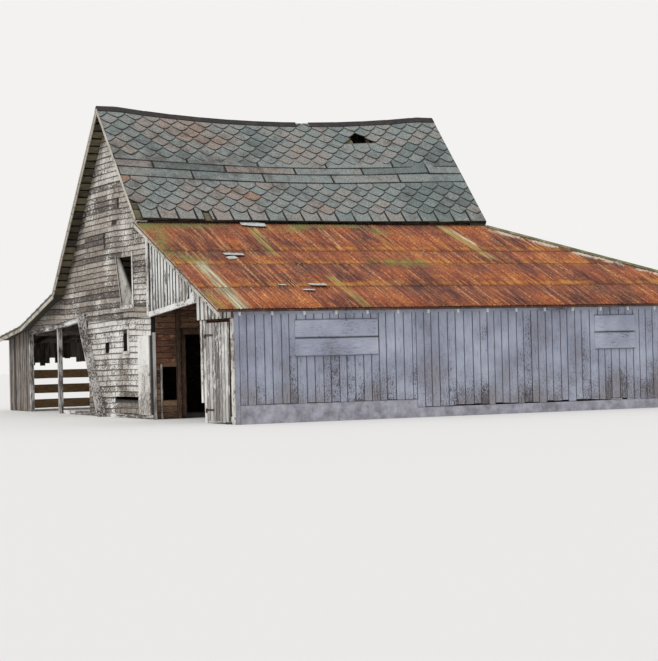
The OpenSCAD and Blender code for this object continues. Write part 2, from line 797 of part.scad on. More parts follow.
// The hip cap begins where the main roof ends
module hip_cap() {
    color(rust_c) intersection() {
        union() {
            intersection() {
                right_layer(seat, seat + hip_cap_t, right_eave_x);
                right_area(0);
            }
            intersection() {
                end_layer(seat, seat + hip_cap_t, far_y);
                end_area(0);
            }
        }
        hip_band(cap_w, right_eave_x, roof_l, far_y);
    }
}

// Pairs of rafters that meet over the beam under the second break
module left_rafters() {
    heel_x = -left_run - post_w / 2;
    tail_x = -left_wall_x - tail_l;
    color(grey_wood_c) for (k = [0:main_count - 1]) for (rafter = [
            [[-left_run, left_under(-left_run)], [seat - left_break_x, left_under(seat - left_break_x)],
            [seat - left_break_x, left_under(seat - left_break_x) - lean_rafter_d],
            [heel_x, kink_plate_top], [-left_run, kink_plate_top]],
            [[-left_break_x, left_under(-left_break_x)], [tail_x, left_under(tail_x)],
            [tail_x, left_under(tail_x) - lean_rafter_d],
            [-left_break_x, left_under(-left_break_x) - lean_rafter_d]]])
        front_plate(rafter, rafter_y(k) - rafter_w / 2, rafter_y(k) + rafter_w / 2);
}

// A flat roof slab on the left, from x0 out to x1
module left_slab(x0, x1) {
    color(shingle_c) front_plate([[x0, left_top(x0) - lean_cover], [x0, left_top(x0)],
        [x1, left_top(x1)], [x1, left_top(x1) - lean_cover]], 0, roof_l);
}

module left_roof() {
    left_slab(-left_run, -left_break_x);
}

module left_outer_roof() {
    left_slab(-left_break_x, -left_eave_x);
}

// The stretches of a wall's top from first to last that a row of rafters leaves open
function stretches(first, last, rafters) =
    let (starts = concat([first], [for (r = rafters) r + rafter_w / 2 + seat]),
         ends = concat([for (r = rafters) r - rafter_w / 2 - seat], [last]))
    [for (k = [0:len(starts) - 1]) if (min(ends[k], last) > starts[k]) [starts[k], min(ends[k], last)]];

// Short boards that close the gaps between the rafters on top of the long wall and the end wall
module eave_boards() {
    x0 = long_wall_x - board_t;
    y0 = end_wall_y - board_t;
    outer_z = lean_under(long_wall_x);
    inner_z = lean_under(x0);
    right = stretches(front_y + board_t, y0 - hip_half, [for (k = [0:right_count - 1]) rafter_y(k)]);
    end = stretches(-crib_right_x, x0 - hip_half, [for (k = [0:end_count - 1]) end_rafter_x(k)]);
    color(pale_paint_c) {
        for (s = right)
            front_plate([[x0, long_wall_top], [long_wall_x, long_wall_top], [long_wall_x, outer_z],
                [x0, inner_z]], s[0], s[1]);
        for (s = end)
            side_plate([[y0, long_wall_top], [end_wall_y, long_wall_top], [end_wall_y, outer_z],
                [y0, inner_z]], s[0], s[1]);
    }
}

place() front_sill();
place() front_wall();
place() front_gable();
place() corner_boards();
place() drive_header();
place() drive_posts();
place() leaning_board();
place() left_front_boards();
place() loft_hatch();
place() lean_front_upper();
place() lean_front_side();
place() doorway_beam();
place() doorway_boards();
place() plank_door();
place() door_straps();
place() door_pins();
place() corner_post();
place() long_wall();
place() window_boards();
place() long_footing();
place() crib_right_wall();
place() crib_left_wall();
place() back_gable();
place() end_wall();
place() end_side_wall();
place() left_wall_upper();
place() left_wall_planks();
place() left_posts();
place() left_beams();
place() left_back_wall();
place() main_rafters();
place() main_roof_right();
place() main_roof_left();
place() ridge_caps();
place() rake_boards();
place() right_rafters();
place() hip_rafter();
place() end_rafters();
place() right_roof();
place() end_roof();
place() hip_cap();
place() left_rafters();
place() left_roof();
place() left_outer_roof();
place() eave_boards();
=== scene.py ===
import math
import random

import bmesh
import bpy
from bpy.props import FloatProperty, FloatVectorProperty, IntProperty, PointerProperty
from mathutils import Matrix, Vector, noise
from mathutils.bvhtree import BVHTree


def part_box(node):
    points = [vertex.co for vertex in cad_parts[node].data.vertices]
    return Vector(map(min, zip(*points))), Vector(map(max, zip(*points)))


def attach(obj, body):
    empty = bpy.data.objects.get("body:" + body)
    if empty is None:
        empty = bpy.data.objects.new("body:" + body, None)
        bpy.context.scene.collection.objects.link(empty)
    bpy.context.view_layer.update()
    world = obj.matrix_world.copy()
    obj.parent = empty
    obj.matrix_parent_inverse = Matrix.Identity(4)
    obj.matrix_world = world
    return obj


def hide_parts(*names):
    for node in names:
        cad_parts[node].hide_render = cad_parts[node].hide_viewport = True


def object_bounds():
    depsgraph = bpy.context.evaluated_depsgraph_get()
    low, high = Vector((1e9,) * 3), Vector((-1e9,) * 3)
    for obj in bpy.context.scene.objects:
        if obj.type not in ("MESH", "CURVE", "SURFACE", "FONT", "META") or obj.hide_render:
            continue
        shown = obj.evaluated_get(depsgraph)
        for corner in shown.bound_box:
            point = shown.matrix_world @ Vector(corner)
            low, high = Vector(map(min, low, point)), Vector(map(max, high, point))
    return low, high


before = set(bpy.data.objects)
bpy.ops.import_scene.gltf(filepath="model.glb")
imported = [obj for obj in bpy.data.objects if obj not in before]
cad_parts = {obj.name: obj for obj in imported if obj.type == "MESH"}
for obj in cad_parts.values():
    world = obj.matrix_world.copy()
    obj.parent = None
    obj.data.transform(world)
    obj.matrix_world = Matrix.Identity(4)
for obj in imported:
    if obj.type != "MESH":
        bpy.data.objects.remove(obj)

bl_info = {
    "name": "Timber barn with a rusted lean-to",
    "version": (1, 0, 0),
    "blender": (4, 5, 0),
    "location": "3D View > Sidebar > Barn",
    "description": "Boards, shingles and ribbed sheets for an old timber barn",
    "category": "Object",
}

# Pieces are drawn with X = 0 under the ridge and Y = 0 at the roofs' front edge, in metres.
HERE = Vector((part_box("main_roof_right")[0].x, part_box("main_roof_right")[0].y, 0.0))
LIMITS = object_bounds()


def spot(node):
    """The lowest and highest corners of a solid, in the drawing's own frame."""
    low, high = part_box(node)
    return low - HERE, high - HERE


# The crib, and the gables over it that stand out past a belt
FRONT, BACK = spot("front_wall")[0].y, spot("back_gable")[1].y
CRIB_LEFT, CRIB_RIGHT = spot("crib_left_wall")[0].x, spot("crib_right_wall")[1].x
SILL, BELT = spot("front_wall")[0].z, spot("front_wall")[1].z
GABLE_FACE = spot("front_gable")[0].y

# The main roof falls from its ridge to the kink on the left and to its eave on the right
RIDGE_Z, ROOF_END = spot("main_roof_right")[1].z, spot("main_roof_right")[1].y
KINK_X, KINK_Z = spot("main_roof_left")[0].x, spot("left_roof")[1].z
RIGHT_RUN, LEFT_RUN = spot("main_roof_right")[1].x, -KINK_X
MAIN_RISE = (RIDGE_Z - KINK_Z) / -KINK_X
MAIN_COS = math.cos(math.atan(MAIN_RISE))

# How thick the main roof and the low ones are, and how the rafters are spaced along the barn
MAIN_ROOF, LOW_ROOF = 0.05, 0.045
RAFTER_START, RAFTER_STEP, RAFTERS = 0.53, 0.755, 12

# The low bay on the left, whose roof grows flatter at a break
BREAK_X, BREAK_Z = spot("left_roof")[0].x, 2.448
LEFT_EAVE_X, OUTER_RISE = spot("left_outer_roof")[0].x, math.tan(math.radians(6.5))
LEFT_WALL, LEFT_TOP = spot("left_wall_upper")[0].x, spot("left_wall_upper")[1].z
DRIVE_LEFT = spot("drive_header")[0].x

# The lean-to on the right, which turns round the far end at the same slope
LONG_WALL, LONG_TOP = spot("long_wall")[1].x, spot("long_wall")[1].z
EAVE_X, EAVE_Z = spot("right_roof")[1].x, 2.43
FAR_Y, END_WALL, END_LEFT = spot("end_roof")[1].y, spot("end_wall")[1].y, spot("end_wall")[0].x
LEAN_RISE = (spot("right_roof")[1].z - EAVE_Z) / (EAVE_X - spot("right_roof")[0].x)


def lean_top(x):
    """The height of the lean-to's roof over a place."""
    return EAVE_Z + (EAVE_X - x) * LEAN_RISE


def end_top(y):
    """The height of the far end's roof over a place."""
    return EAVE_Z + (FAR_Y - y) * LEAN_RISE


def left_top(x):
    """The height of the left bay's roof over a place."""
    if x >= BREAK_X:
        return KINK_Z + (x - KINK_X) * (KINK_Z - BREAK_Z) / (KINK_X - BREAK_X)
    return BREAK_Z + (x - BREAK_X) * OUTER_RISE


# Colours and materials


def linear(text):
    """An sRGB hex colour as linear numbers."""
    values = [int(text[i:i + 2], 16) / 255 for i in (1, 3, 5)]
    return tuple(v / 12.92 if v <= 0.04045 else ((v + 0.055) / 1.055) ** 2.4 for v in values) + (1.0,)


def add(tree, kind, sockets=None, stops=None, **settings):
    """Adds a node; sockets holds values, or other nodes' outputs to link, by socket name or number."""
    made = tree.nodes.new(kind)
    for key, value in settings.items():
        setattr(made, key, value)
    for key, value in (sockets or {}).items():
        if isinstance(value, bpy.types.NodeSocket):
            tree.links.new(value, made.inputs[key])
        else:
            made.inputs[key].default_value = value
    if stops:
        ramp = made.color_ramp.elements
        while len(ramp) < len(stops):
            ramp.new(0.5)
        for element, (place, colour) in zip(ramp, stops):
            element.position = place
            element.color = linear(colour)
    return made


def start(name):
    """A new material with its node tree and shader."""
    made = bpy.data.materials.new(name)
    made.use_nodes = True
    tree = made.node_tree
    tree.nodes.clear()
    shader = add(tree, "ShaderNodeBsdfPrincipled")
    add(tree, "ShaderNodeOutputMaterial", {"Surface": shader.outputs[0]})
    return made, tree, shader


def scattered(tree, spread=(31.0, 17.0, 23.0)):
    """Object coordinates moved by each board's own tone, so that no grain runs on to the next board."""
    place = add(tree, "ShaderNodeTexCoord").outputs["Object"]
    tone = add(tree, "ShaderNodeAttribute", attribute_name="tone").outputs["Fac"]
    far = add(tree, "ShaderNodeVectorMath", {0: tone, 1: spread}, operation="MULTIPLY")
    moved = add(tree, "ShaderNodeVectorMath", {0: place, 1: far.outputs[0]}, operation="ADD")
    return place, moved.outputs[0], tone


def inside(tree, ranges, soft):
    """1 where every value lies in its own range, falling to 0 over a soft border."""
    share = None
    for value, low, high in ranges:
        off = add(tree, "ShaderNodeMath", {0: value, 1: (low + high) / 2}, operation="SUBTRACT").outputs[0]
        off = add(tree, "ShaderNodeMath", {0: off}, operation="ABSOLUTE").outputs[0]
        part = add(tree, "ShaderNodeMapRange", {"Value": off, "From Min": (high - low) / 2 - soft,
                                                 "From Max": (high - low) / 2 + soft, "To Min": 1.0,
                                                 "To Max": 0.0}).outputs[0]
        share = part if share is None else add(tree, "ShaderNodeMath", {0: share, 1: part},
                                                operation="MULTIPLY").outputs[0]
    return share


def streaks(tree, place, scale, detail, rough=0.5, bent=0.0):
    """Noise drawn out by a scale of its own along each axis."""
    lines = add(tree, "ShaderNodeMapping", {"Vector": place, "Scale": scale})
    return add(tree, "ShaderNodeTexNoise", {"Vector": lines.outputs[0], "Scale": 1.0, "Detail": detail,
                                            "Roughness": rough, "Distortion": bent}).outputs["Fac"]


def summed(tree, total, *parts):
    """A value plus others, each times its own weight."""
    for value, weight in parts:
        total = add(tree, "ShaderNodeMath", {0: value, 1: weight, 2: total},
                    operation="MULTIPLY_ADD").outputs[0]
    return total


def tinted(tree, under, tint, *shares):
    """Lays a colour over another where all its shares meet. A share is a socket, or a socket with two
    limits and how much it counts at each of them."""
    share = None
    for part in shares:
        if isinstance(part, tuple):
            value, low, high, at_low, at_high = part
            part = add(tree, "ShaderNodeMapRange", {"Value": value, "From Min": low, "From Max": high,
                                                    "To Min": at_low, "To Max": at_high}).outputs[0]
        share = part if share is None else add(tree, "ShaderNodeMath", {0: share, 1: part},
                                               operation="MULTIPLY").outputs[0]
    return add(tree, "ShaderNodeMix", {0: share, 6: under, 7: linear(tint)}, data_type="RGBA").outputs[2]


def shaded(tree, colour, value, low, high, at_low, at_high=1.0):
    """Darkens or lightens a colour by a value with two limits."""
    shade = add(tree, "ShaderNodeMapRange", {"Value": value, "From Min": low, "From Max": high,
                                             "To Min": at_low, "To Max": at_high}).outputs[0]
    return add(tree, "ShaderNodeMix", {0: 1.0, 6: colour, 7: shade}, data_type="RGBA",
               blend_type="MULTIPLY").outputs[2]


def set_surface(tree, shader, colour, height, bump, relief_mm, rough, metallic=0.0):
    """Gives a shader its colour, its relief and its sheen."""
    relief = add(tree, "ShaderNodeBump", {"Height": height, "Strength": bump, "Distance": relief_mm / 1000})
    tree.links.new(colour, shader.inputs["Base Color"])
    tree.links.new(relief.outputs[0], shader.inputs["Normal"])
    shader.inputs["Roughness"].default_value = rough
    shader.inputs["Metallic"].default_value = metallic


def board_finish(name, bare, paint=None, cover=0.5, along="x", flake=0.05, slender=0.45, uneven=0.3,
                 worn_foot=0.0, worn=(), painted=None, grain_mm=16, lapped=False, rim_darkness=0.22):
    """Old sawn boards. The bare wood has gone grey and its dark grain stands out. What is left of the
    paint is in flakes, more of it gone near the ground and in the worn boxes, each given as its range
    along X, its range in height, how much and the border. Dirt and painted shade darken the long edges,
    and on lapped boards a painted shadow darkens what lies just under the next board. Where painted is
    given, only what lies past it along X was ever painted."""
    found = bpy.data.materials.get(name)
    if found:
        return found
    made, tree, shader = start(name)
    place, moved, tone = scattered(tree)
    axes = add(tree, "ShaderNodeSeparateXYZ", {0: place}).outputs
    across = 1000.0 / grain_mm
    grain = streaks(tree, moved, [across / 12 if axis == along else across for axis in "xyz"], 5.0, 0.62, 0.3)
    broad = add(tree, "ShaderNodeTexNoise", {"Vector": place, "Scale": 1.1, "Detail": 3.0}).outputs["Fac"]
    toned = summed(tree, -0.17, (tone, 0.35))
    colour = add(tree, "ShaderNodeValToRGB", {0: summed(tree, grain, (toned, 1.0))},
                 stops=[(0.30, bare[0]), (0.47, bare[1]), (0.68, bare[2])]).outputs[0]
    height = grain
    if paint:
        across = 1.0 / flake
        long = across * slender
        flakes = streaks(tree, moved, [long if axis == along else across for axis in "xyz"], 6.0, 0.68)
        left = summed(tree, flakes, (broad, 0.55), (toned, uneven))
        if worn_foot:
            low = add(tree, "ShaderNodeMapRange", {"Value": axes["Z"], "From Min": 0.2, "From Max": 1.3,
                                                   "To Min": -worn_foot, "To Max": 0.0}).outputs[0]
            left = summed(tree, left, (low, 1.0))
        for (x0, x1), (z0, z1), amount, border in worn:
            box = inside(tree, [(axes["X"], HERE.x + x0, HERE.x + x1), (axes["Z"], z0, z1)], border)
            left = summed(tree, left, (box, -amount))
        # The height of the noise above which the wanted share is left
        edge = 0.775 + (0.5 - cover) * 0.34
        left = add(tree, "ShaderNodeMapRange", {"Value": left, "From Min": edge - 0.035,
                                                "From Max": edge + 0.035},
                   interpolation_type="SMOOTHSTEP").outputs[0]
        if painted is not None:
            past = add(tree, "ShaderNodeMath", {0: axes["X"], 1: HERE.x + painted}, operation="GREATER_THAN")
            left = add(tree, "ShaderNodeMath", {0: left, 1: past.outputs[0]}, operation="MULTIPLY").outputs[0]
        coat = add(tree, "ShaderNodeValToRGB", {0: summed(tree, broad, (grain, 0.5))},
                   stops=[(0.52, paint[0]), (0.74, paint[1]), (0.98, paint[2])]).outputs[0]
        colour = add(tree, "ShaderNodeMix", {0: left, 6: colour, 7: coat}, data_type="RGBA").outputs[2]
        height = summed(tree, grain, (left, 0.7))
    rim = add(tree, "ShaderNodeAttribute", attribute_name="rim").outputs["Fac"]
    if lapped:
        split = streaks(tree, moved, (7.5, 1.0, 0.9), 2.0)
        split = add(tree, "ShaderNodeMath", {0: split, 1: 0.5}, operation="SUBTRACT").outputs[0]
        split = add(tree, "ShaderNodeMath", {0: split}, operation="ABSOLUTE").outputs[0]
        colour = shaded(tree, colour, split, 0.006, 0.02, 0.3)
        # A painted shadow darkens the band just under the next board's butt
        shade_and_dirt_from, shade_and_dirt_to = 0.22, 0.60
    else:
        rim = add(tree, "ShaderNodeMath", {0: rim}, operation="ABSOLUTE").outputs[0]
        # Dirt and painted shade in the joints darken both long edges
        shade_and_dirt_from, shade_and_dirt_to = 0.84, 0.99
    colour = shaded(tree, colour, grain, 0.30, 0.38, 0.45)
    colour = shaded(tree, colour, rim, shade_and_dirt_from, shade_and_dirt_to, 1.0, rim_darkness)
    set_surface(tree, shader, colour, height, 0.5, 4.0, 0.85)
    return made


def lap_paint():
    """Linseed paint on pine clapboards: chalky cream flakes over silver-brown wood."""
    return board_finish("chalky_white_paint_on_clapboards", ("#4a423b", "#82786d", "#a59c92"),
                        ("#a9a49c", "#c8c4bd", "#e2e0db"), cover=0.62, along="x", flake=0.035, worn_foot=0.1,
                        lapped=True, rim_darkness=0.2)


def gable_paint():
    """The same paint higher up, weathered off most of the gable's left half and under the loft hatch. The
    darker bare wood on the left half is also painted shadow of vines.
    """
    return board_finish("weathered_paint_on_gable_clapboards", ("#3e3630", "#766c62", "#a0968b"),
                        ("#9b958c", "#bcb6ad", "#d7d3cb"), cover=0.51, along="x", flake=0.035, lapped=True,
                        # The first worn box, over the left half, is both wear and painted shadow of vines
                        rim_darkness=0.16, worn=[((-9.0, 0.1), (2.0, 5.4), 0.085, 0.9),
                                          ((0.55, 2.55), (2.45, 2.76), 0.3, 0.04),
                                          ((-1.5, 1.1), (2.9, 4.3), 0.04, 0.4)])


def plank_paint(along="z"):
    """White paint flaking off rough grey planks and poles."""
    return board_finish("flaking_white_paint_along_" + along, ("#463f38", "#756d65", "#9c958d"),
                        ("#a9a5a0", "#c6c3bf", "#dfddd9"), cover=0.70, along=along, flake=0.03,
                        slender=0.1)


def front_paint():
    """Whitewashed upright boards of the lean-to's front, the paint sound but streaked."""
    return board_finish("whitewash_on_upright_boards", ("#5d5750", "#8f8b88", "#b4b1ae"),
                        ("#abaca9", "#c9cac7", "#e2e2df"), cover=0.72, along="z", flake=0.08)


def long_wall_paint():
    """Thin bluish-grey paint on rough upright boards, peeling low down."""
    return board_finish("bluish_grey_paint_on_upright_boards", ("#4f4946", "#7d787c", "#9b9799"),
                        ("#84889a", "#9ca1b2", "#b8bdcb"), cover=0.84, along="z", flake=0.022, worn_foot=0.15,
                        rim_darkness=0.3, uneven=0.1)


def window_paint():
    """The same bluish-grey paint on the level boards over the windows, less worn."""
    return board_finish("bluish_grey_paint_on_level_boards", ("#4f4946", "#7d787c", "#9b9799"),
                        ("#888c9e", "#a0a5b6", "#bcc0ce"), cover=0.9, along="y", flake=0.04)


def grey_wood(along):
    """Bare softwood that has stood in the rain for decades: silver grey with dark grain."""
    return board_finish("bare_grey_softwood_along_" + along, ("#574f47", "#91887d", "#bab2a8"), along=along)


def low_wood(along):
    """Split grey boards of the low bay, dark where the damp stays in them."""
    return board_finish("split_dark_grey_boards_along_" + along, ("#1c1815", "#5b524a", "#988f85"),
                        along=along, grain_mm=24, rim_darkness=0.1)


def door_wood():
    """Wide bare planks with the last of their white paint in the grain."""
    return board_finish("bare_grey_planks_with_traces_of_white", ("#4f4a45", "#8d8984", "#b9b6b1"),
                        ("#a3a19d", "#c3c1bd", "#dad8d4"), cover=0.34, along="z", flake=0.07, grain_mm=18)


def brown_wood(along):
    """Sheltered boards, still brown because the sun never reached them."""
    return board_finish("sheltered_brown_boards_along_" + along, ("#3a2a1f", "#6d5340", "#8f7156"),
                        along=along)


def plank_wood():
    """Oak planks that the low sun has kept warm orange-brown."""
    return board_finish("warm_brown_oak_planks", ("#7d5f41", "#b18a60", "#d3b088"), along="y")


def red_boards():
    """Old red-brown barn paint gone thin on boards under the lean-to roof, bare low down."""
    return board_finish("thin_red_brown_paint_on_boards", ("#3a2a20", "#735641", "#a1805f"),
                        ("#532f22", "#6f4230", "#8a5a42"), cover=0.44, along="y", flake=0.06, worn_foot=0.2)


def sheathing_wood():
    """Spaced roof boards, dark with age, green where damp, and darker still as painted shade under the
    overhangs.
    """
    return board_finish("damp_roof_boards_in_painted_shade_along_y", ("#26221a", "#4f4836", "#716a50"), along="y")


def hatch_paint():
    """Pale grey paint on a plank hatch, rubbed through at its edges."""
    return board_finish("pale_grey_paint_on_hatch_planks", ("#4f4a43", "#817b72", "#a19b91"),
                        ("#8d8c83", "#a8a69c", "#bfbdb4"), cover=0.72, along="z", flake=0.06)


def beam_paint():
    """Sound white paint on the doorway's beam."""
    return board_finish("white_paint_on_the_doorway_beam", ("#77726b", "#9b968f", "#b9b4ad"),
                        ("#bfbdb9", "#d9d8d5", "#efefed"), cover=1.0, along="x", flake=0.05)


def trim_paint(along="z"):
    """White trim boards, cracked but mostly still painted."""
    return board_finish("cracked_white_trim_paint_along_" + along, ("#6b645c", "#9a938a", "#bdb6ad"),
                        ("#b3b0a9", "#cfccc5", "#e6e4df"), cover=0.84, along=along, flake=0.05)


def backing_wood():
    """The boards behind missing siding, never painted, and near black as painted shade of the dark barn
    behind them.
    """
    return board_finish("dark_backing_boards", ("#15110f", "#2a221d", "#3d332b"), along="x")


def rake_paint():
    """Pale grey-beige paint on the rake boards."""
    return board_finish("pale_beige_paint_on_rake_boards", ("#575045", "#857d70", "#a29a8c"),
                        ("#948e82", "#b0aa9d", "#c9c3b7"), cover=0.86, along="x", flake=0.08)


def tail_paint():
    """Sheltered brown rafters, white only on the tails that stand out past the long wall."""
    return board_finish("brown_rafters_with_white_painted_tails", ("#3f342b", "#6d5c4c", "#8f7d6a"),
                        ("#c9c9cc", "#dededf", "#efeff0"), cover=1.1, along="x", flake=0.09,
                        painted=LONG_WALL - 0.01)


def shingle_finish():
    """Hexagonal composition shingles: faded mineral colours from tile to tile, black in the joints from
    worn edges and a painted shadow under each shingle's lower edge, dark stains, and pale lichen specks."""
    name = "faded_hexagonal_composition_shingles"
    found = bpy.data.materials.get(name)
    if found:
        return found
    made, tree, shader = start(name)
    place, moved, tone = scattered(tree)
    axes = add(tree, "ShaderNodeSeparateXYZ", {0: place}).outputs
    rim = add(tree, "ShaderNodeAttribute", attribute_name="rim").outputs["Fac"]
    patch = add(tree, "ShaderNodeTexNoise", {"Vector": place, "Scale": 0.55, "Detail": 2.0}).outputs["Fac"]
    fine = add(tree, "ShaderNodeTexNoise", {"Vector": moved, "Scale": 28.0, "Detail": 5.0,
                                            "Roughness": 0.7}).outputs["Fac"]
    stain = add(tree, "ShaderNodeTexNoise", {"Vector": place, "Scale": 2.2, "Detail": 7.0,
                                             "Roughness": 0.78}).outputs["Fac"]
    lichen = add(tree, "ShaderNodeTexNoise", {"Vector": moved, "Scale": 45.0, "Detail": 3.0}).outputs["Fac"]
    foul = inside(tree, [(axes["X"], HERE.x + 0.75, HERE.x + 1.85),
                         (axes["Y"], HERE.y - 1.0, HERE.y + 4.2)], 0.6)
    face = add(tree, "ShaderNodeValToRGB", {0: summed(tree, -0.55, (patch, 1.3), (tone, 0.75))},
               stops=[(0.12, "#6b7573"), (0.30, "#7f8885"), (0.44, "#898f8b"), (0.58, "#8f8e88"),
                      (0.74, "#948b83"), (0.92, "#988679")]).outputs[0]
    face = tinted(tree, face, "#a07a60", (tone, 0.985, 0.99, 0.0, 0.6))
    face = tinted(tree, face, "#47433f", (summed(tree, stain, (foul, 0.10)), 0.50, 0.68, 0.0, 0.72))
    face = shaded(tree, face, fine, 0.32, 0.68, 0.42, 1.5)
    face = tinted(tree, face, "#b8b6a6", (lichen, 0.64, 0.70, 0.0, 0.6))
    # Near-black joints: worn edges and a painted shadow under each shingle's lower edge
    face = tinted(tree, face, "#131110", (rim, 0.15, 0.5, 0.0, 1.0))
    set_surface(tree, shader, face, fine, 0.4, 3.0, 0.88)
    return made


def rust_finish(name, down, laps, runs=(), moss=(), past_hip=False):
    """Galvanised ribbed sheets rusted through: purple-brown where dry, with orange and pale runs down
    the ribs, ochre where water collects at the laps, and moss in the patches given. Down is the axis
    that the sheets fall along; past_hip gives them the pale edge beside the hip."""
    found = bpy.data.materials.get(name)
    if found:
        return found
    made, tree, shader = start(name)
    place, moved, tone = scattered(tree, (0.0, 0.0, 7.0))
    axes = add(tree, "ShaderNodeSeparateXYZ", {0: place}).outputs
    slope, along, top, edge = axes["X"], axes["Y"], HERE.x, HERE.y
    if down == "y":
        slope, along, top, edge = along, slope, edge, top

    def drawn_out(long, across, detail, rough=0.62):
        scale = (long, across, long) if down == "x" else (across, long, long)
        return streaks(tree, moved, scale, detail, rough)

    streak = drawn_out(0.7, 11.0, 6.0, 0.68)
    thin = drawn_out(0.35, 15.0, 4.0)
    hair = drawn_out(0.9, 34.0, 3.0)
    broad = add(tree, "ShaderNodeTexNoise", {"Vector": place, "Scale": 0.9, "Detail": 4.0}).outputs["Fac"]
    cloud = add(tree, "ShaderNodeTexNoise", {"Vector": place, "Scale": 2.7, "Detail": 5.0,
                                             "Roughness": 0.65}).outputs["Fac"]
    fine = add(tree, "ShaderNodeTexNoise", {"Vector": moved, "Scale": 20.0, "Detail": 5.0,
                                            "Roughness": 0.75}).outputs["Fac"]
    depth = summed(tree, streak, (broad, 1.0), (fine, 0.35), (tone, 0.12))
    depth = add(tree, "ShaderNodeMapRange", {"Value": depth, "From Min": 0.88, "From Max": 1.62}).outputs[0]
    colour = add(tree, "ShaderNodeValToRGB", {0: depth},
                 stops=[(0.08, "#442420"), (0.30, "#653429"), (0.50, "#82422b"), (0.68, "#9a512d"),
                        (0.84, "#b26834"), (0.96, "#c8924f")]).outputs[0]
    grit = (fine, 0.38, 0.62, 0.25, 1.0)
    colour = tinted(tree, colour, "#d19d68", (thin, 0.54, 0.64, 0.0, 0.85), grit)
    colour = tinted(tree, colour, "#ca8c50", (hair, 0.56, 0.66, 0.0, 0.65), grit)
    colour = shaded(tree, colour, hair, 0.30, 0.44, 0.55)
    colour = tinted(tree, colour, "#b9763a", (cloud, 0.50, 0.62, 0.0, 1.0), (streak, 0.44, 0.60, 0.0, 0.6))
    colour = shaded(tree, colour, fine, 0.34, 0.66, 0.42, 1.58)
    bent = summed(tree, slope, (cloud, 0.34))
    for lap in laps:
        band = inside(tree, [(bent, top + lap + 0.06, top + lap + 0.24)], 0.07)
        colour = tinted(tree, colour, "#c8903f", band, (streak, 0.42, 0.58, 0.0, 1.0),
                        (broad, 0.38, 0.56, 0.15, 0.95))
    # The fine noise frays the runs' edges; 0.045 is its mean
    for (s0, s1), (l0, l1), lean, tint, amount in runs:
        across = summed(tree, -lean * (top + (s0 + s1) / 2), (slope, lean), (along, 1.0), (fine, 0.09))
        strip = inside(tree, [(across, edge + l0 + 0.045, edge + l1 + 0.045)], min(0.03, (l1 - l0) / 2))
        length = inside(tree, [(slope, top + s0, top + s1)], 0.12)
        colour = tinted(tree, colour, tint, strip, length, (streak, 0.40, 0.56, 0.25, 1.0),
                        (thin, 0.40, 0.56, 0.25 * amount, amount))
    for (s0, s1), (l0, l1), border in moss:
        damp = inside(tree, [(slope, top + s0, top + s1), (along, edge + l0, edge + l1)], border)
        colour = tinted(tree, colour, "#7f8546", damp, (cloud, 0.40, 0.56, 0.0, 1.0),
                        (fine, 0.36, 0.56, 0.0, 1.0))
    if past_hip:
        off = summed(tree, FAR_Y + edge - EAVE_X - top, (slope, 1.0), (along, -1.0))
        colour = tinted(tree, colour, "#d3cbb8", inside(tree, [(off, 0.2, 0.52)], 0.1),
                        (cloud, 0.46, 0.54, 0.0, 0.85))
    set_surface(tree, shader, colour, fine, 0.35, 2.0, 0.8, 0.1)
    return made


def rough_finish(name, colours, size_mm, rough, relief_mm=2.0, metallic=0.0):
    """A cast or corroded surface: blotches of three shades over fine pitting."""
    found = bpy.data.materials.get(name)
    if found:
        return found
    made, tree, shader = start(name)
    place = add(tree, "ShaderNodeTexCoord").outputs["Object"]
    blotch = add(tree, "ShaderNodeTexNoise", {"Vector": place, "Scale": 1000.0 / size_mm, "Detail": 6.0,
                                              "Roughness": 0.65}).outputs["Fac"]
    pits = add(tree, "ShaderNodeTexNoise", {"Vector": place, "Scale": 8000.0 / size_mm,
                                            "Detail": 3.0}).outputs["Fac"]
    colour = add(tree, "ShaderNodeValToRGB", {0: blotch},
                 stops=[(0.35, colours[0]), (0.5, colours[1]), (0.66, colours[2])]).outputs[0]
    set_surface(tree, shader, colour, pits, 0.5, relief_mm, rough, metallic)
    return made


def footing_concrete():
    """Board-formed concrete under a thin coat of pale limewash."""
    return rough_finish("limewashed_rough_concrete", ("#85828a", "#a09fa8", "#b9b8c2"), 240, 0.9, 4.0)


def rusty_iron():
    """Forged hinges, black scale broken by brown rust."""
    return rough_finish("rusted_forged_iron", ("#2b211d", "#4a352b", "#6f4a37"), 30, 0.7, 1.0, 0.5)


def ridge_wood():
    """Dark tarred ridge boards, their edges worn brown."""
    return rough_finish("tarred_ridge_boards", ("#171415", "#262021", "#3b302e"), 220, 0.75)


def sheet_underside():
    """The underside of the metal sheets, stained dark brown by rust and darkened further as painted shadow
    under the sheets' edges.
    """
    return rough_finish("rust_stained_sheet_underside_in_painted_shade", ("#2b1f1b", "#493128", "#6b4837"), 120, 0.8)


def hip_rust():
    """The hip's folded cap: rusted metal that moss has grown over."""
    return rough_finish("mossy_rusted_hip_cap", ("#4d4630", "#6b6a45", "#9a8a66"), 260, 0.85)


def bleached_shingles():
    """Shingles that slid off and lie face down, bleached almost white."""
    return rough_finish("bleached_loose_shingles", ("#8f908c", "#bcbdb9", "#dadbd7"), 90, 0.85)


# Shaping


# How far the head of a lapped board is hidden by the next one
LAP = 0.02


def layer(bm, name="tone"):
    """The layer that holds a number for each vertex."""
    return bm.verts.layers.float.get(name) or bm.verts.layers.float.new(name)


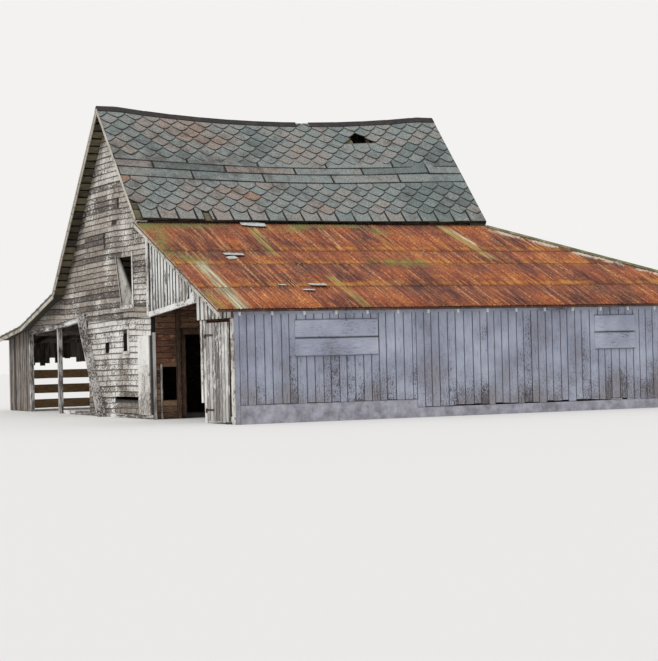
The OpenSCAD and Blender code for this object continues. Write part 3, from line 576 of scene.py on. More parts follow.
def board(bm, low, high, tone, cuts=0, axis=0):
    """A board as a box, cut across its length so that it can bend; returns its vertices. Its rim
    layer runs from -1 at one long edge to 1 at the other."""
    tones, rims = layer(bm), layer(bm, "rim")
    made = bmesh.ops.create_cube(bm, size=1.0)["verts"]
    low, high = Vector(low), Vector(high)
    bmesh.ops.scale(bm, vec=high - low, verts=made)
    bmesh.ops.translate(bm, vec=(low + high) / 2, verts=made)
    wide = max((i for i in range(3) if i != axis), key=lambda i: high[i] - low[i])
    for v in made:
        v[tones] = tone
        v[rims] = 1.0 if v.co[wide] > (low[wide] + high[wide]) / 2 else -1.0
    if cuts > 0:
        long_edges = {e for v in made for e in v.link_edges
                      if abs((e.verts[0].co - e.verts[1].co)[axis]) > 1e-6}
        cut = bmesh.ops.subdivide_edges(bm, edges=list(long_edges), cuts=cuts)
        made = {g for g in cut["geom_inner"] if isinstance(g, bmesh.types.BMVert)}
        made |= {e.other_vert(v) for v in made for e in v.link_edges}
    return made


def trim(bm, point, outward, close=True):
    """Cuts away what lies outside a plane. The cuts are closed, except on sheets that are still thin."""
    cut = bmesh.ops.bisect_plane(bm, geom=bm.verts[:] + bm.edges[:] + bm.faces[:], plane_co=Vector(point),
                                 plane_no=Vector(outward), clear_outer=True, dist=1e-5)
    edges = [g for g in cut["geom_cut"] if isinstance(g, bmesh.types.BMEdge) and g.is_valid]
    if close and edges:
        bmesh.ops.holes_fill(bm, edges=edges, sides=0)


def thicken(bm, thickness):
    """Gives a thin sheet its thickness."""
    bmesh.ops.solidify(bm, geom=bm.verts[:] + bm.edges[:] + bm.faces[:], thickness=thickness)


def join(bm, part):
    """Adds one mesh in the making to another."""
    passing = bpy.data.meshes.new("passing")
    part.to_mesh(passing)
    part.free()
    bm.from_mesh(passing)
    bpy.data.meshes.remove(passing)


def new_bm():
    """A mesh in the making, with layers for each board's tone and for how near its rim is."""
    bm = bmesh.new()
    layer(bm)
    layer(bm, "rim")
    return bm


def linked(name, data):
    """A new object in the scene."""
    made = bpy.data.objects.new(name, data)
    bpy.context.scene.collection.objects.link(made)
    return made


def piece(bm, name, finish, body="barn", replaces=(), smooth=False):
    """Turns a mesh in the making into an object of the barn that stays in the solids' box."""
    bmesh.ops.translate(bm, verts=bm.verts, vec=HERE)
    for v in bm.verts:
        v.co = Vector([min(max(c, low), high) for c, low, high in zip(v.co, *LIMITS)])
    bmesh.ops.recalc_face_normals(bm, faces=bm.faces)
    for face in bm.faces:
        face.smooth = smooth
    mesh = bpy.data.meshes.new(name)
    bm.to_mesh(mesh)
    bm.free()
    mesh.materials.append(finish)
    made = linked(name, mesh)
    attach(made, body)
    if replaces:
        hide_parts(*replaces)


def dress(finish, *nodes):
    """Gives solids that stay as they are their finish."""
    for name in nodes:
        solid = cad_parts[name].data
        solid.materials.clear()
        solid.materials.append(finish)


def surface_of(node):
    """A function that gives a solid's upper surface and its slope at a place seen from above."""
    bm = bmesh.new()
    bm.from_mesh(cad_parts[node].data)
    tree = BVHTree.FromBMesh(bm)
    bm.free()
    low, high = spot(node)

    def at(x, y):
        cx = min(max(x, low.x + 0.002), high.x - 0.002)
        cy = min(max(y, low.y + 0.002), high.y - 0.002)
        found, normal = tree.ray_cast(Vector((cx, cy, 20.0)) + HERE, Vector((0, 0, -1)))[:2]
        if found is None:
            raise RuntimeError("no roof above " + node)
        z = found.z - (normal.x * (x - cx) + normal.y * (y - cy)) / normal.z
        return z, normal

    return at


def lay_on(bm, surface, side, x0=0.0, cosine=1.0):
    """Moves a mesh drawn flat (down the slope, along it, above it) on to a roof."""
    for v in bm.verts:
        x = x0 + side * v.co.x * cosine
        z, normal = surface(x, v.co.y)
        v.co = Vector((x, v.co.y, z)) + normal * v.co.z


def wave(x, z, seed=0.0):
    """How far an old course of siding has crept from level."""
    return (0.022 * math.sin(0.9 * x + 0.35 * z + seed)
            + 0.016 * noise.noise(Vector((x * 0.8, seed, z * 0.6))))


def spans(start_at, end_at, cuts):
    """What is left of a stretch when some stretches are cut out of it."""
    left, least = [(start_at, end_at)], 0.03
    for a, b in cuts:
        parts = [part for s, e in left for part in ((s, min(e, a)), (max(s, b), e))]
        left = [part for part in parts if part[1] - part[0] > least]
    return left


def lengths(start_at, end_at, pick, least):
    """Splits a stretch into picked lengths. The last takes in what would be left, if that is under least."""
    at = start_at
    while at < end_at - 0.02:
        end = at + pick()
        end = end_at if end_at - end < least else end
        yield at, end
        at = end


def level(z):
    """The foot or head line of boards, where it neither rises nor falls."""
    return lambda place: z


def lap_siding(bm, rng, x0, x1, z0, z1, face, look, gaps=(), out=-1, seed=0.0):
    """Courses of lapped boards on a wall that faces along Y, each tapered towards its top. Gaps are
    (from, to, low, high)."""
    exposure, thick, thin = look.exposure, look.thickness, 0.004
    tall = exposure + LAP
    z = z0
    while z < z1:
        middle = z + exposure / 2
        for a, b in spans(x0, x1, [g[:2] for g in gaps if g[2] < middle < g[3]]):
            for x, end in lengths(a, b, lambda: rng.uniform(1.6, 4.4), 0.5):
                made = board(bm, (x + 0.002, min(face, face + out * thick), z),
                             (end - 0.002, max(face, face + out * thick), z + tall),
                             rng.random(), cuts=int((end - x) / 0.45), axis=0)
                tilt, lift = rng.uniform(-0.005, 0.005), rng.uniform(0.0, 0.004)
                for v in made:
                    share = (v.co.z - z) / tall
                    if (v.co.y - face) * out > thick / 2:
                        v.co.y = face + out * (thick - (thick - thin) * share + lift * (1 - share))
                    v.co.z += wave(v.co.x, z, seed) + tilt * (v.co.x - x)
        z += exposure


def upright_boards(bm, rng, p0, p1, bottom, top, outer, inner, along="x", width=0.2, gap=0.006, ragged=0.0,
                   warp=0.004, holes=(), cuts=3):
    """Upright boards side by side along X or Y; holes are (from, to, low, high). Returns the joints."""
    axis, deep = (0, 1) if along == "x" else (1, 0)
    joints = []
    for p, end in lengths(p0, p1, lambda: width * rng.uniform(0.86, 1.14), width * 0.4):
        middle, tone = (p + end) / 2, rng.random()
        head, low = top(middle), bottom(middle) + rng.uniform(0.0, ragged)
        shift = rng.uniform(-warp, warp) * 0.5
        for a, b in spans(low, head, [h[2:] for h in holes if h[0] < middle < h[1]]):
            corner, far = [0, 0, a], [0, 0, b]
            corner[axis], far[axis] = p, end - gap
            corner[deep], far[deep] = min(outer, inner), max(outer, inner)
            for v in board(bm, corner, far, tone, cuts=cuts, axis=2):
                along_p = v.co[axis]
                if abs(b - head) < 1e-6:
                    v.co.z += (v.co.z - a) / (b - a) * (top(along_p) - head)
                bend = noise.noise(Vector((along_p * 3.0, v.co.z * 1.3, tone * 40.0)))
                v.co[deep] += (bend - 0.3) * warp * (1 if outer < inner else -1) + shift
                v.co[axis] += bend * warp * 0.6
        joints.append(end - gap / 2)
    return joints[:-1]


# Sizes and colours to change


class SidingLook(bpy.types.PropertyGroup):
    exposure: FloatProperty(name="Exposure", description="Height of a course that shows", default=0.136,
                            min=0.08, max=0.25, unit="LENGTH")
    thickness: FloatProperty(name="Butt thickness", description="Thickness of a clapboard at its lower edge",
                             default=0.02, min=0.008, max=0.03, unit="LENGTH")


class BoardLook(bpy.types.PropertyGroup):
    wall_board: FloatProperty(name="Long wall board", description="Width of the long wall's upright boards",
                              default=0.2, min=0.1, max=0.35, unit="LENGTH")
    front_board: FloatProperty(name="Lean-to front board", description="Width of the front's upright boards",
                               default=0.2, min=0.1, max=0.35, unit="LENGTH")
    door_plank: FloatProperty(name="Door plank", description="Width of the plank door's planks",
                              default=0.172, min=0.08, max=0.3, unit="LENGTH")


class RoofLook(bpy.types.PropertyGroup):
    tile: FloatProperty(name="Shingle width", description="Width of a hexagonal shingle", default=0.467,
                        min=0.25, max=0.6, unit="LENGTH")
    course: FloatProperty(name="Course", description="Height of a course of shingles", default=0.2335,
                          min=0.12, max=0.35, unit="LENGTH")
    tile_thickness: FloatProperty(name="Shingle thickness", default=0.009, min=0.003, max=0.02, unit="LENGTH",
                                  description="Thickness of a shingle with its curl")
    rib: FloatProperty(name="Rib spacing", description="Distance from rib to rib of the metal sheets",
                       default=0.0762, min=0.05, max=0.2, unit="LENGTH")
    rib_depth: FloatProperty(name="Rib depth", description="Height of the ribs of the metal sheets",
                             default=0.018, min=0.008, max=0.04, unit="LENGTH")
    sheet: IntProperty(name="Ribs a sheet", description="Number of ribs across a metal sheet", default=8,
                       min=4, max=14)


class StageLook(bpy.types.PropertyGroup):
    floor: FloatVectorProperty(name="Floor", description="Colour of the floor", subtype="COLOR", size=4,
                               default=linear("#e9e7e3"), min=0.0, max=1.0)
    sky: FloatProperty(name="Sky light", description="Strength of the light from all round", default=0.72,
                       min=0.0, max=2.0)
    sun: FloatProperty(name="Sun light", description="Strength of the soft sun", default=1.6, min=0.0,
                       max=10.0)


LOOKS = {"siding": SidingLook, "boards": BoardLook, "roofs": RoofLook, "stage": StageLook}


def looks(kind):
    """The sizes or colours of one group, as they are set now."""
    return getattr(bpy.context.scene, "barn_" + kind)


# Walls

# Openings, as (left, right, low, high). The loft opening's left side leans, so its gaps in the siding
# follow it course by course
HATCH = (0.3, 1.5, 2.77, 3.98)
HATCH_SKEW = 0.38
HATCH_COURSES = 9
COURSE = (HATCH[3] - HATCH[2]) / HATCH_COURSES
HATCH_GAPS = [(HATCH[0] + HATCH_SKEW * (1 - (k + 0.5) / HATCH_COURSES), HATCH[1], HATCH[2] + k * COURSE,
               HATCH[2] + (k + 1) * COURSE) for k in range(HATCH_COURSES)]
WINDOW = (0.62, 0.98, 1.64, 2.08)
VENT = (-0.81, -0.49, 1.62, 1.89)
SLOT = (-0.1, 1.65, 0.42, 0.575)
CRIB_DOOR = (1.22, 2.12, -1.0, 2.0)
CRIB_HATCH = (0.64, 1.08, 0.45, 1.24)

# The corner boards stand where the siding stops, and these boards have fallen off the gables
CORNER = (1.72, 2.65, 0.0, 2.0)
FALLEN = [(0.46, 0.63, 5.13, 5.38), (0.0, 0.42, 4.82, 4.95), (-0.66, -0.52, 4.18, 4.58), (1.9, 2.2, 6.2, 6.4)]
FALLEN_BEHIND = [(1.9, 2.3, 4.8, 4.9)]

# The top of the header over the drive-through, from its left end over the middle post to the crib
HEADER = ((DRIVE_LEFT, 2.33), (-5.0, 2.44), (-2.2, 2.65))

# The boards nailed over the long wall's windows, along the wall, and how far they cover the wall round
# them; the footing steps down once on its way to the back
COVERS = ((1.82, 3.81), (9.44, 10.54))
COVER_LAP = 0.06
FOOTING_STEP = 4.76


def beam_line(x):
    """The foot of the boards over the lean-to's doorway, which follows its beam."""
    return 2.49 + (x - CRIB_RIGHT) * 0.23 / 3.03


def under_lean(x):
    """The head of the boards under the lean-to's roof."""
    return lean_top(x) - LOW_ROOF


def under_left(x):
    """The head of the boards under the left bay's roof."""
    return left_top(x) - 0.043


def cut_to_header(bm):
    """Cuts the gable's siding off along the top of the crooked header."""
    for (x0, z0), (x1, z1) in zip(HEADER, HEADER[1:]):
        trim(bm, (x0, 0, z0), ((z1 - z0) / (x1 - x0), 0, -1))


def cut_to_gable(bm):
    """Cuts siding off under the main roof and at the gable's two sides."""
    peak = RIDGE_Z - MAIN_ROOF / MAIN_COS - 0.004
    for point, outward in (((0, 0, peak), (MAIN_RISE, 0, 1)), ((0, 0, peak), (-MAIN_RISE, 0, 1)),
                           ((KINK_X, 0, 0), (-1, 0, 0)), ((CRIB_RIGHT, 0, 0), (1, 0, 0))):
        trim(bm, point, outward)


class BARN_OT_front_siding(bpy.types.Operator):
    """Lapped boards over the crib's front and the gable"""
    bl_idname = "barn.front_siding"
    bl_label = "Front siding"

    def execute(self, context):
        look = looks("siding")
        rng = random.Random(4)
        bm = new_bm()
        lap_siding(bm, rng, CRIB_LEFT, CRIB_RIGHT, SILL, BELT - LAP, FRONT, look,
                   [WINDOW, VENT, SLOT, CORNER])
        trim(bm, (0, 0, SILL), (0, 0, -1))
        trim(bm, (0, 0, BELT + 0.03), (0, 0, 1))
        piece(bm, "front_siding", lap_paint())
        head, creep = new_bm(), 0.6
        lap_siding(head, rng, CRIB_LEFT, CRIB_RIGHT, BELT, RIDGE_Z, GABLE_FACE, look, HATCH_GAPS + FALLEN,
                   seed=creep)
        side = new_bm()
        lap_siding(side, rng, KINK_X, CRIB_LEFT, BELT - look.exposure, 6.0, GABLE_FACE, look, seed=creep)
        cut_to_header(side)
        join(head, side)
        cut_to_gable(head)
        trim(head, (0, 0, BELT), (0, 0, -1))
        for a, b in ((BREAK_X, KINK_X), (DRIVE_LEFT, BREAK_X)):
            low = new_bm()
            lap_siding(low, rng, a, b, BELT - look.exposure, 3.3, GABLE_FACE, look, seed=creep)
            rise = (left_top(b) - left_top(a)) / (b - a)
            trim(low, (b, 0, left_top(b) - LOW_ROOF), (-rise, 0, 1))
            cut_to_header(low)
            join(head, low)
        piece(head, "gable_siding", gable_paint())
        # Painted shade: the near-black boards show through gaps in the siding
        dress(backing_wood(), "front_wall", "front_gable")
        return {"FINISHED"}


class BARN_OT_back_siding(bpy.types.Operator):
    """Lapped boards over the back wall of the crib and its gable"""
    bl_idname = "barn.back_siding"
    bl_label = "Back siding"

    def execute(self, context):
        foot = 0.02
        bm = new_bm()
        lap_siding(bm, random.Random(5), KINK_X, CRIB_RIGHT, foot, RIDGE_Z, BACK, looks("siding"),
                   FALLEN_BEHIND, out=1, seed=2.0)
        trim(bm, (0, 0, foot), (0, 0, -1))
        cut_to_gable(bm)
        piece(bm, "back_siding", lap_paint())
        dress(backing_wood(), "back_gable")
        return {"FINISHED"}


class BARN_OT_long_walls(bpy.types.Operator):
    """Upright boards of the long wall and of the walls round the far end"""
    bl_idname = "barn.long_walls"
    bl_label = "Long walls"

    def execute(self, context):
        width, gap, thick = looks("boards").wall_board, 0.007, 0.028
        rng = random.Random(6)
        low, high = spot("window_boards")
        windows = [(y0 + COVER_LAP, y1 - COVER_LAP, low.z + 0.03, high.z - 0.03) for y0, y1 in COVERS]
        footing, footing_top = spot("long_footing")[0].y, spot("long_footing")[1].z
        post = footing - FRONT - 0.03
        bm = new_bm()
        upright_boards(bm, rng, FRONT + 0.03, footing, level(0.02), level(LONG_TOP), LONG_WALL,
                       LONG_WALL - 0.018, "y", post, 0.004)
        for y0, y1, foot, ragged in ((footing, FOOTING_STEP, footing_top, 0.02),
                                     (FOOTING_STEP, END_WALL, spot("long_wall")[0].z, 0.05)):
            upright_boards(bm, rng, y0, y1, level(foot), level(LONG_TOP), LONG_WALL, LONG_WALL - thick, "y",
                           width, gap, ragged, holes=windows)
        piece(bm, "long_wall_boards", long_wall_paint(), replaces=("long_wall",))
        bm = new_bm()
        upright_boards(bm, rng, END_LEFT, LONG_WALL - 0.03, level(0.0), level(LONG_TOP), END_WALL,
                       END_WALL - thick, "x", width, gap, 0.05)
        upright_boards(bm, rng, BACK, END_WALL - 0.03, level(0.0), lambda y: end_top(y) - 0.042, END_LEFT,
                       END_LEFT + thick, "y", width, gap, 0.05)
        piece(bm, "end_wall_boards", long_wall_paint(),
              replaces=("end_wall", "end_side_wall"))
        bm = new_bm()
        middle = (low.z + high.z) / 2
        for y0, y1 in COVERS:
            for z0, z1 in ((low.z, middle - 0.004), (middle + 0.004, high.z)):
                for v in board(bm, (LONG_WALL, y0, z0), (LONG_WALL + 0.022, y1, z1), rng.random(), cuts=5,
                               axis=1):
                    v.co.z += 0.006 * noise.noise(Vector((v.co.y, v.co.z, 9.0)))
        piece(bm, "window_cover_boards", window_paint(), replaces=("window_boards",))
        return {"FINISHED"}


class BARN_OT_lean_front(bpy.types.Operator):
    """Upright boards over the lean-to's doorway and door, with the beam and corner"""
    bl_idname = "barn.lean_front"
    bl_label = "Lean-to front"

    def execute(self, context):
        rng = random.Random(7)
        face, back = FRONT + 0.004, FRONT + 0.03
        side = level(spot("lean_front_side")[0].z + 0.02)
        for name, node, x0, x1, foot, share in (
                ("lean_front_boards", "lean_front_upper", 2.655, 5.68, beam_line, 1.0),
                ("lean_side_boards", "lean_front_side", 5.682, LONG_WALL, side, 1.15)):
            width = looks("boards").front_board * share
            bm = new_bm()
            upright_boards(bm, rng, x0, x1, foot, under_lean, face, face + 0.013, "x", width, width * 0.3)
            piece(bm, name, front_paint(), replaces=(node,))
            # The boards behind fill the gaps between the front boards; their dark brown also paints the shade
            # in those gaps
            bm = new_bm()
            upright_boards(bm, rng, x0, x1 - 0.004, foot, under_lean, face + 0.014, back, "x", width * 1.3,
                           0.004)
            piece(bm, name + "_behind", brown_wood("z"))
        dress(beam_paint(), "doorway_beam")
        dress(trim_paint(), "doorway_boards", "corner_post")
        return {"FINISHED"}


class BARN_OT_left_bay(bpy.types.Operator):
    """Boards of the low bay on the left"""
    bl_idname = "barn.left_bay"
    bl_label = "Left bay"

    def execute(self, context):
        rng = random.Random(8)
        bm = new_bm()
        upright_boards(bm, rng, LEFT_WALL, DRIVE_LEFT, level(0.0), under_left, FRONT, FRONT + 0.026, "x",
                       0.14, 0.02, 0.03, warp=0.008)
        piece(bm, "left_front_uprights", low_wood("z"), replaces=("left_front_boards",))
        bm = new_bm()
        upright_boards(bm, rng, FRONT + 0.03, BACK - 0.03, level(spot("left_wall_upper")[0].z),
                       level(LEFT_TOP), LEFT_WALL, LEFT_WALL + 0.026, "y", 0.16, 0.006, 0.26)
        # Blocks between the rafters, over the boards
        places = [RAFTER_START + RAFTER_STEP * k for k in range(RAFTERS)]
        for a, b in spans(FRONT + 0.04, BACK - 0.04, [(y - 0.03, y + 0.03) for y in places]):
            board(bm, (LEFT_WALL + 0.001, a, LEFT_TOP - 0.02),
                  (LEFT_WALL + 0.025, b, left_top(LEFT_WALL) - 0.05), rng.random(), cuts=1, axis=1)
        piece(bm, "left_wall_uprights", low_wood("z"), replaces=("left_wall_upper",))
        bm = new_bm()
        upright_boards(bm, rng, LEFT_WALL, KINK_X, level(0.0), under_left, BACK, BACK - 0.026, "x", 0.18,
                       0.01, 0.06, warp=0.008)
        piece(bm, "left_back_uprights", low_wood("z"), replaces=("left_back_wall",))
        bm = new_bm()
        low, high = spot("left_wall_planks")
        # The planks meet at the posts
        ends, wide = [low.y, 3.2, 6.15, high.y], 0.26
        for k in range(3):
            z = low.z + k * (high.z - low.z - wide) / 2
            for a, b in zip(ends, ends[1:]):
                for v in board(bm, (LEFT_WALL, a + 0.003, z), (LEFT_WALL + 0.028, b - 0.003, z + wide),
                               rng.random(), cuts=6, axis=1):
                    v.co.z += 0.01 * noise.noise(Vector((v.co.y * 1.2, v.co.z * 4.0, k)))
        piece(bm, "left_wall_low_planks", plank_wood(), replaces=("left_wall_planks",))
        dress(plank_paint(), "drive_posts", "leaning_board")
        dress(low_wood("z"), "left_posts")
        dress(plank_paint("x"), "drive_header", "front_sill")
        dress(grey_wood("y"), "left_beams")
        return {"FINISHED"}


class BARN_OT_crib_walls(bpy.types.Operator):
    """Red-brown boards on the crib's right wall, with the trim of its doorway and hatch"""
    bl_idname = "barn.crib_walls"
    bl_label = "Crib walls"

    def execute(self, context):
        rng = random.Random(9)
        self.level_boards(rng, "crib_right_wall", CRIB_RIGHT, 1, [CRIB_DOOR, CRIB_HATCH], red_boards(),
                          "red_wood")
        self.level_boards(rng, "crib_left_wall", CRIB_LEFT, -1, [], brown_wood("y"), "dark_wood")
        bm = new_bm()
        face = CRIB_RIGHT + 0.02
        d0, d1, head = CRIB_DOOR[0], CRIB_DOOR[1], CRIB_DOOR[3]
        h0, h1, lid = CRIB_HATCH[0], CRIB_HATCH[1], CRIB_HATCH[3]
        for y0, y1, z0, z1 in ((d0 - 0.1, d1 + 0.1, head, head + 0.14), (d0 - 0.1, d0, 0.0, head),
                               (d1, d1 + 0.1, 0.0, head), (h0 - 0.08, h1 + 0.02, lid, lid + 0.1)):
            board(bm, (CRIB_RIGHT, y0, z0), (face + 0.022, y1, z1), rng.random())
        # A stud that stands against the wall between the hatch and the doorway
        board(bm, (face, h1 - 0.1, 0.0), (face + 0.05, h1, 3.9), 0.1, cuts=3, axis=2)
        piece(bm, "crib_door_trim", brown_wood("z"))
        bm = new_bm()
        for y0, y1, thick, top, tone in ((0.39, 0.47, 0.028, 2.06, 0.6), (0.575, 0.62, 0.022, 1.3, 0.3)):
            board(bm, (face + 0.002, y0, 0.01), (face + 0.002 + thick, y1, top), tone, cuts=3, axis=2)
        piece(bm, "doorway_jamb", plank_paint())
        dress(brown_wood("y"), "crib_right_wall", "crib_left_wall")
        return {"FINISHED"}

    def level_boards(self, rng, node, face, side, openings, finish, slot):
        """Nails level boards on one face of a wall that runs along the barn, round its openings."""
        low, high = spot(node)
        bm = new_bm()
        z, step = 0.02, 0.142
        while z < high.z - 0.05:
            for a, b in spans(low.y, high.y, [o[:2] for o in openings if o[2] < z + step / 2 < o[3]]):
                for y, end in lengths(a, b, lambda: rng.uniform(1.5, 4.0), 0.5):
                    outer = face + side * rng.uniform(0.014, 0.02)
                    for v in board(bm, (min(face, outer), y + 0.002, z + 0.004),
                                   (max(face, outer), end - 0.002, z + step - 0.003), rng.random(),
                                   cuts=int((end - y) / 0.7), axis=1):
                        v.co.z += 0.008 * noise.noise(Vector((v.co.y * 0.7, z, 5.0)))
            z += step
        trim(bm, (0, 0, high.z), (0, 0, 1))
        piece(bm, node[:-4] + "boards", finish)


class BARN_OT_plank_door(bpy.types.Operator):
    """The hinged door: ragged planks on three ledges behind them"""
    bl_idname = "barn.plank_door"
    bl_label = "Plank door"

    def execute(self, context):
        rng = random.Random(10)
        low, high = spot("plank_door")
        bm = new_bm()
        joints = upright_boards(bm, rng, low.x, high.x, level(low.z), level(high.z), low.y, high.y - 0.008,
                                "x", looks("boards").door_plank, 0.015, 0.035, warp=0.003, cuts=5)
        for v in bm.verts:
            v.co.y = max(v.co.y, low.y + 0.0005)
            # The last plank leans in towards the door's foot
            if v.co.x > joints[-1]:
                v.co.x -= (high.z - v.co.z) / (high.z - low.z) * 0.055
        for z in (0.32, 1.1, 1.92):
            board(bm, (low.x + 0.03, high.y - 0.012, z), (high.x - 0.09, high.y, z + 0.13), rng.random())
        piece(bm, "door_planks", door_wood(), body="door", replaces=("plank_door",))
        dress(rusty_iron(), "door_straps", "door_pins")
        return {"FINISHED"}


class BARN_OT_openings(bpy.types.Operator):
    """The panel wedged in the loft opening, and the trim of that opening and the small window"""
    bl_idname = "barn.openings"
    bl_label = "Hatch and trim"

    def execute(self, context):
        rng = random.Random(11)
        # The panel is drawn hanging from its upper left corner, then turned into the opening
        bm = new_bm()
        low, high = spot("loft_hatch")
        left, right, x = -0.2, 1.5, -0.2
        while x < right:
            end = x + rng.uniform(0.19, 0.24)
            board(bm, (x + 0.002, 0.0, -1.6), (end - 0.004, 0.022, 0.0), rng.random())
            x = end
        for z in (-0.8, -0.22):
            board(bm, (left, 0.02, z), (right, 0.03, z + 0.1), rng.random())
        head = (low.x + 0.18, high.z)
        foot = (high.x, low.z + 0.18)
        lean = math.atan2(head[1] - foot[1], foot[0] - head[0])
        turn = Matrix.Translation((head[0], low.y, head[1])) @ Matrix.Rotation(lean, 4, "Y")
        bmesh.ops.transform(bm, matrix=turn, verts=bm.verts)
        trim(bm, (high.x - 0.002, 0, 0), (1, 0, 0))
        trim(bm, (0, 0, high.z - 0.002), (0, 0, 1))
        trim(bm, (0, 0, low.z + 0.002), (0, 0, -1))
        trim(bm, (low.x, 0, high.z), (-(high.z - low.z), 0, -HATCH_SKEW))
        piece(bm, "hatch_planks", hatch_paint(), replaces=("loft_hatch",))
        bm = new_bm()
        face = GABLE_FACE - 0.024
        x0, x1, z0, z1 = HATCH
        for left, right, foot, head, axis in ((x1, x1 + 0.1, z0 - 0.06, z1 + 0.06, 2),
                                              (x0 + 0.3, x1 + 0.04, z0 - 0.1, z0, 0)):
            board(bm, (left, face - 0.01, foot), (right, GABLE_FACE, head), rng.random(), axis=axis)
        for v in board(bm, (x0 - 0.035, face - 0.004, z0 - 0.03), (x0, GABLE_FACE, z1 + 0.03), rng.random(),
                       axis=2):
            v.co.x += (z1 - v.co.z) / (z1 - z0) * HATCH_SKEW
        x0, x1, z0, z1 = WINDOW
        for left, right, foot, head in ((x1, x1 + 0.1, z0 - 0.1, z1 + 0.2),
                                        (x0 - 0.03, x1 + 0.02, z0 - 0.08, z0)):
            board(bm, (left, FRONT - 0.034, foot), (right, FRONT, head), rng.random())
        piece(bm, "window_trim", trim_paint())
        dress(trim_paint(), "corner_boards")
        return {"FINISHED"}


# Roofs

# The hole near the ridge: from and to across the barn, then from and to along it
HOLE = (0.33, 0.56, 6.83, 7.44)

# How wide the roof boards are, and how far it is from one to the next
BOARD_WIDE, BOARD_STEP = 0.195, 0.235

# Tiles that are gone: from and to down the slope, then from and to along the barn
GONE_HOLE = [(0.6, 1.0, 6.7, 7.3)]
GONE_CORNER = [(3.5, 3.7, -0.3, 0.1)]
GONE_EAVE = [(3.3, 4.2, -0.7, 0.1), (3.3, 4.2, 1.6, 1.95)]
GONE_LEFT = [(2.0, 2.2, 4.0, 4.5)]

# How much shows of the square tiles along an eave
STARTER = 0.3

# The rows of sheets down the lean-to and down the far end; each laps the next by 0.1 m
RIGHT_ROWS = ((2.79, 4.58), (4.48, 5.38), (5.28, 6.73), (6.63, EAVE_X - 0.002))
END_ROWS = ((ROOF_END + 0.02, 10.6), (10.5, 12.4), (12.3, FAR_Y - 0.002))

# Runs down the sheets: from and to down the slope, from and to along the barn, lean, colour, strength
RUNS = (((5.2, 8.2), (0.46, 0.78), 0.012, "#a9b287", 1.0), ((5.3, 8.2), (0.55, 0.60), 0.012, "#ecebdf", 1.0),
        ((5.3, 8.2), (0.66, 0.70), 0.012, "#ecebdf", 1.0), ((5.2, 7.7), (0.35, 0.40), 0.03, "#d6b68c", 0.85),
        ((3.1, 4.8), (2.62, 2.85), 0.13, "#aba25c", 0.85), ((2.75, 5.1), (8.1, 8.34), -0.1, "#bdb06e", 0.95),
        ((2.9, 4.2), (8.3, 8.38), -0.1, "#e6dbb4", 1.0), ((3.4, 5.3), (5.9, 6.08), 0.0, "#b98d48", 0.6),
        ((6.1, 7.9), (3.4, 3.6), -0.06, "#b5a65a", 0.8), ((3.0, 4.6), (1.66, 1.72), 0.1, "#dcb084", 0.9),
        ((3.2, 4.4), (4.6, 4.66), 0.1, "#dcb084", 0.9))

# Moss on the sheets: from and to down the slope, from and to along the barn, border
MOSS = (((2.6, 3.3), (0.1, 0.7), 0.25), ((2.7, 3.05), (0.0, 5.9), 0.12), ((2.9, 5.1), (-0.1, 0.42), 0.14),
        ((4.85, 5.25), (0.1, 0.9), 0.15), ((2.95, 3.5), (6.0, 6.4), 0.1), ((5.1, 5.5), (4.9, 6.4), 0.12),
        ((2.9, 3.3), (3.2, 4.3), 0.12), ((6.9, 8.0), (0.02, 0.2), 0.12))

# Shingles lying on the sheets: where, length, width, turn, how far the lower edge stands off
LOOSE = ((4.86, 1.63, 0.46, 0.2, -0.08, 0.03), (5.04, 1.52, 0.24, 0.16, 0.3, 0.0),
         (6.68, 2.89, 0.4, 0.17, -0.12, 0.03), (6.96, 2.55, 0.28, 0.1, -0.1, 0.02),
         (6.66, 2.04, 0.18, 0.07, -0.2, 0.01), (2.9, 2.95, 0.62, 0.3, -0.2, 0.02))


class BARN_OT_roof_boards(bpy.types.Operator):
    """Spaced boards under the shingles of the main roof, which follow its sag"""
    bl_idname = "barn.roof_boards"
    bl_label = "Roof boards"

    def execute(self, context):
        for node, side, run, seed in (("main_roof_right", 1, RIGHT_RUN, 12),
                                      ("main_roof_left", -1, LEFT_RUN, 13)):
            rng = random.Random(seed)
            surface = surface_of(node)
            length = run / MAIN_COS
            bm = new_bm()
            down = 0.02
            while down < length - 0.04:
                left = length - down
                wide = left if left - BOARD_STEP < 0.1 else min(BOARD_WIDE, left)
                holed = side > 0 and down < HOLE[1] / MAIN_COS and down + wide > HOLE[0] / MAIN_COS
                for a, b in spans(0.004, ROOF_END - 0.004, [HOLE[2:]] if holed else []):
                    # The boards end on rafters
                    for y, end in lengths(a, b, lambda: rng.choice((3, 4, 5)) * RAFTER_STEP, 0.7):
                        board(bm, (down, y + 0.001, -0.0495), (down + wide, end - 0.002, -0.024),
                              rng.random(), cuts=max(1, int((end - y) / 0.3)), axis=1)
                down += BOARD_STEP
            lay_on(bm, surface, side, cosine=MAIN_COS)
            if side > 0:
                # A board on edge closes the gap over the lean-to, past the end wall
                edge = board(bm, (RIGHT_RUN - 0.035, BACK - 0.1, 0.0),
                             (RIGHT_RUN - 0.015, ROOF_END - 0.004, 1.0), 0.2, cuts=2, axis=1)
                for v in edge:
                    v.co.z = surface(v.co.x, v.co.y)[0] - 0.06 if v.co.z > 0.5 else lean_top(v.co.x) + 0.002
            piece(bm, "roof_boards_" + node.split("_")[2], sheathing_wood(), replaces=(node,))
        return {"FINISHED"}


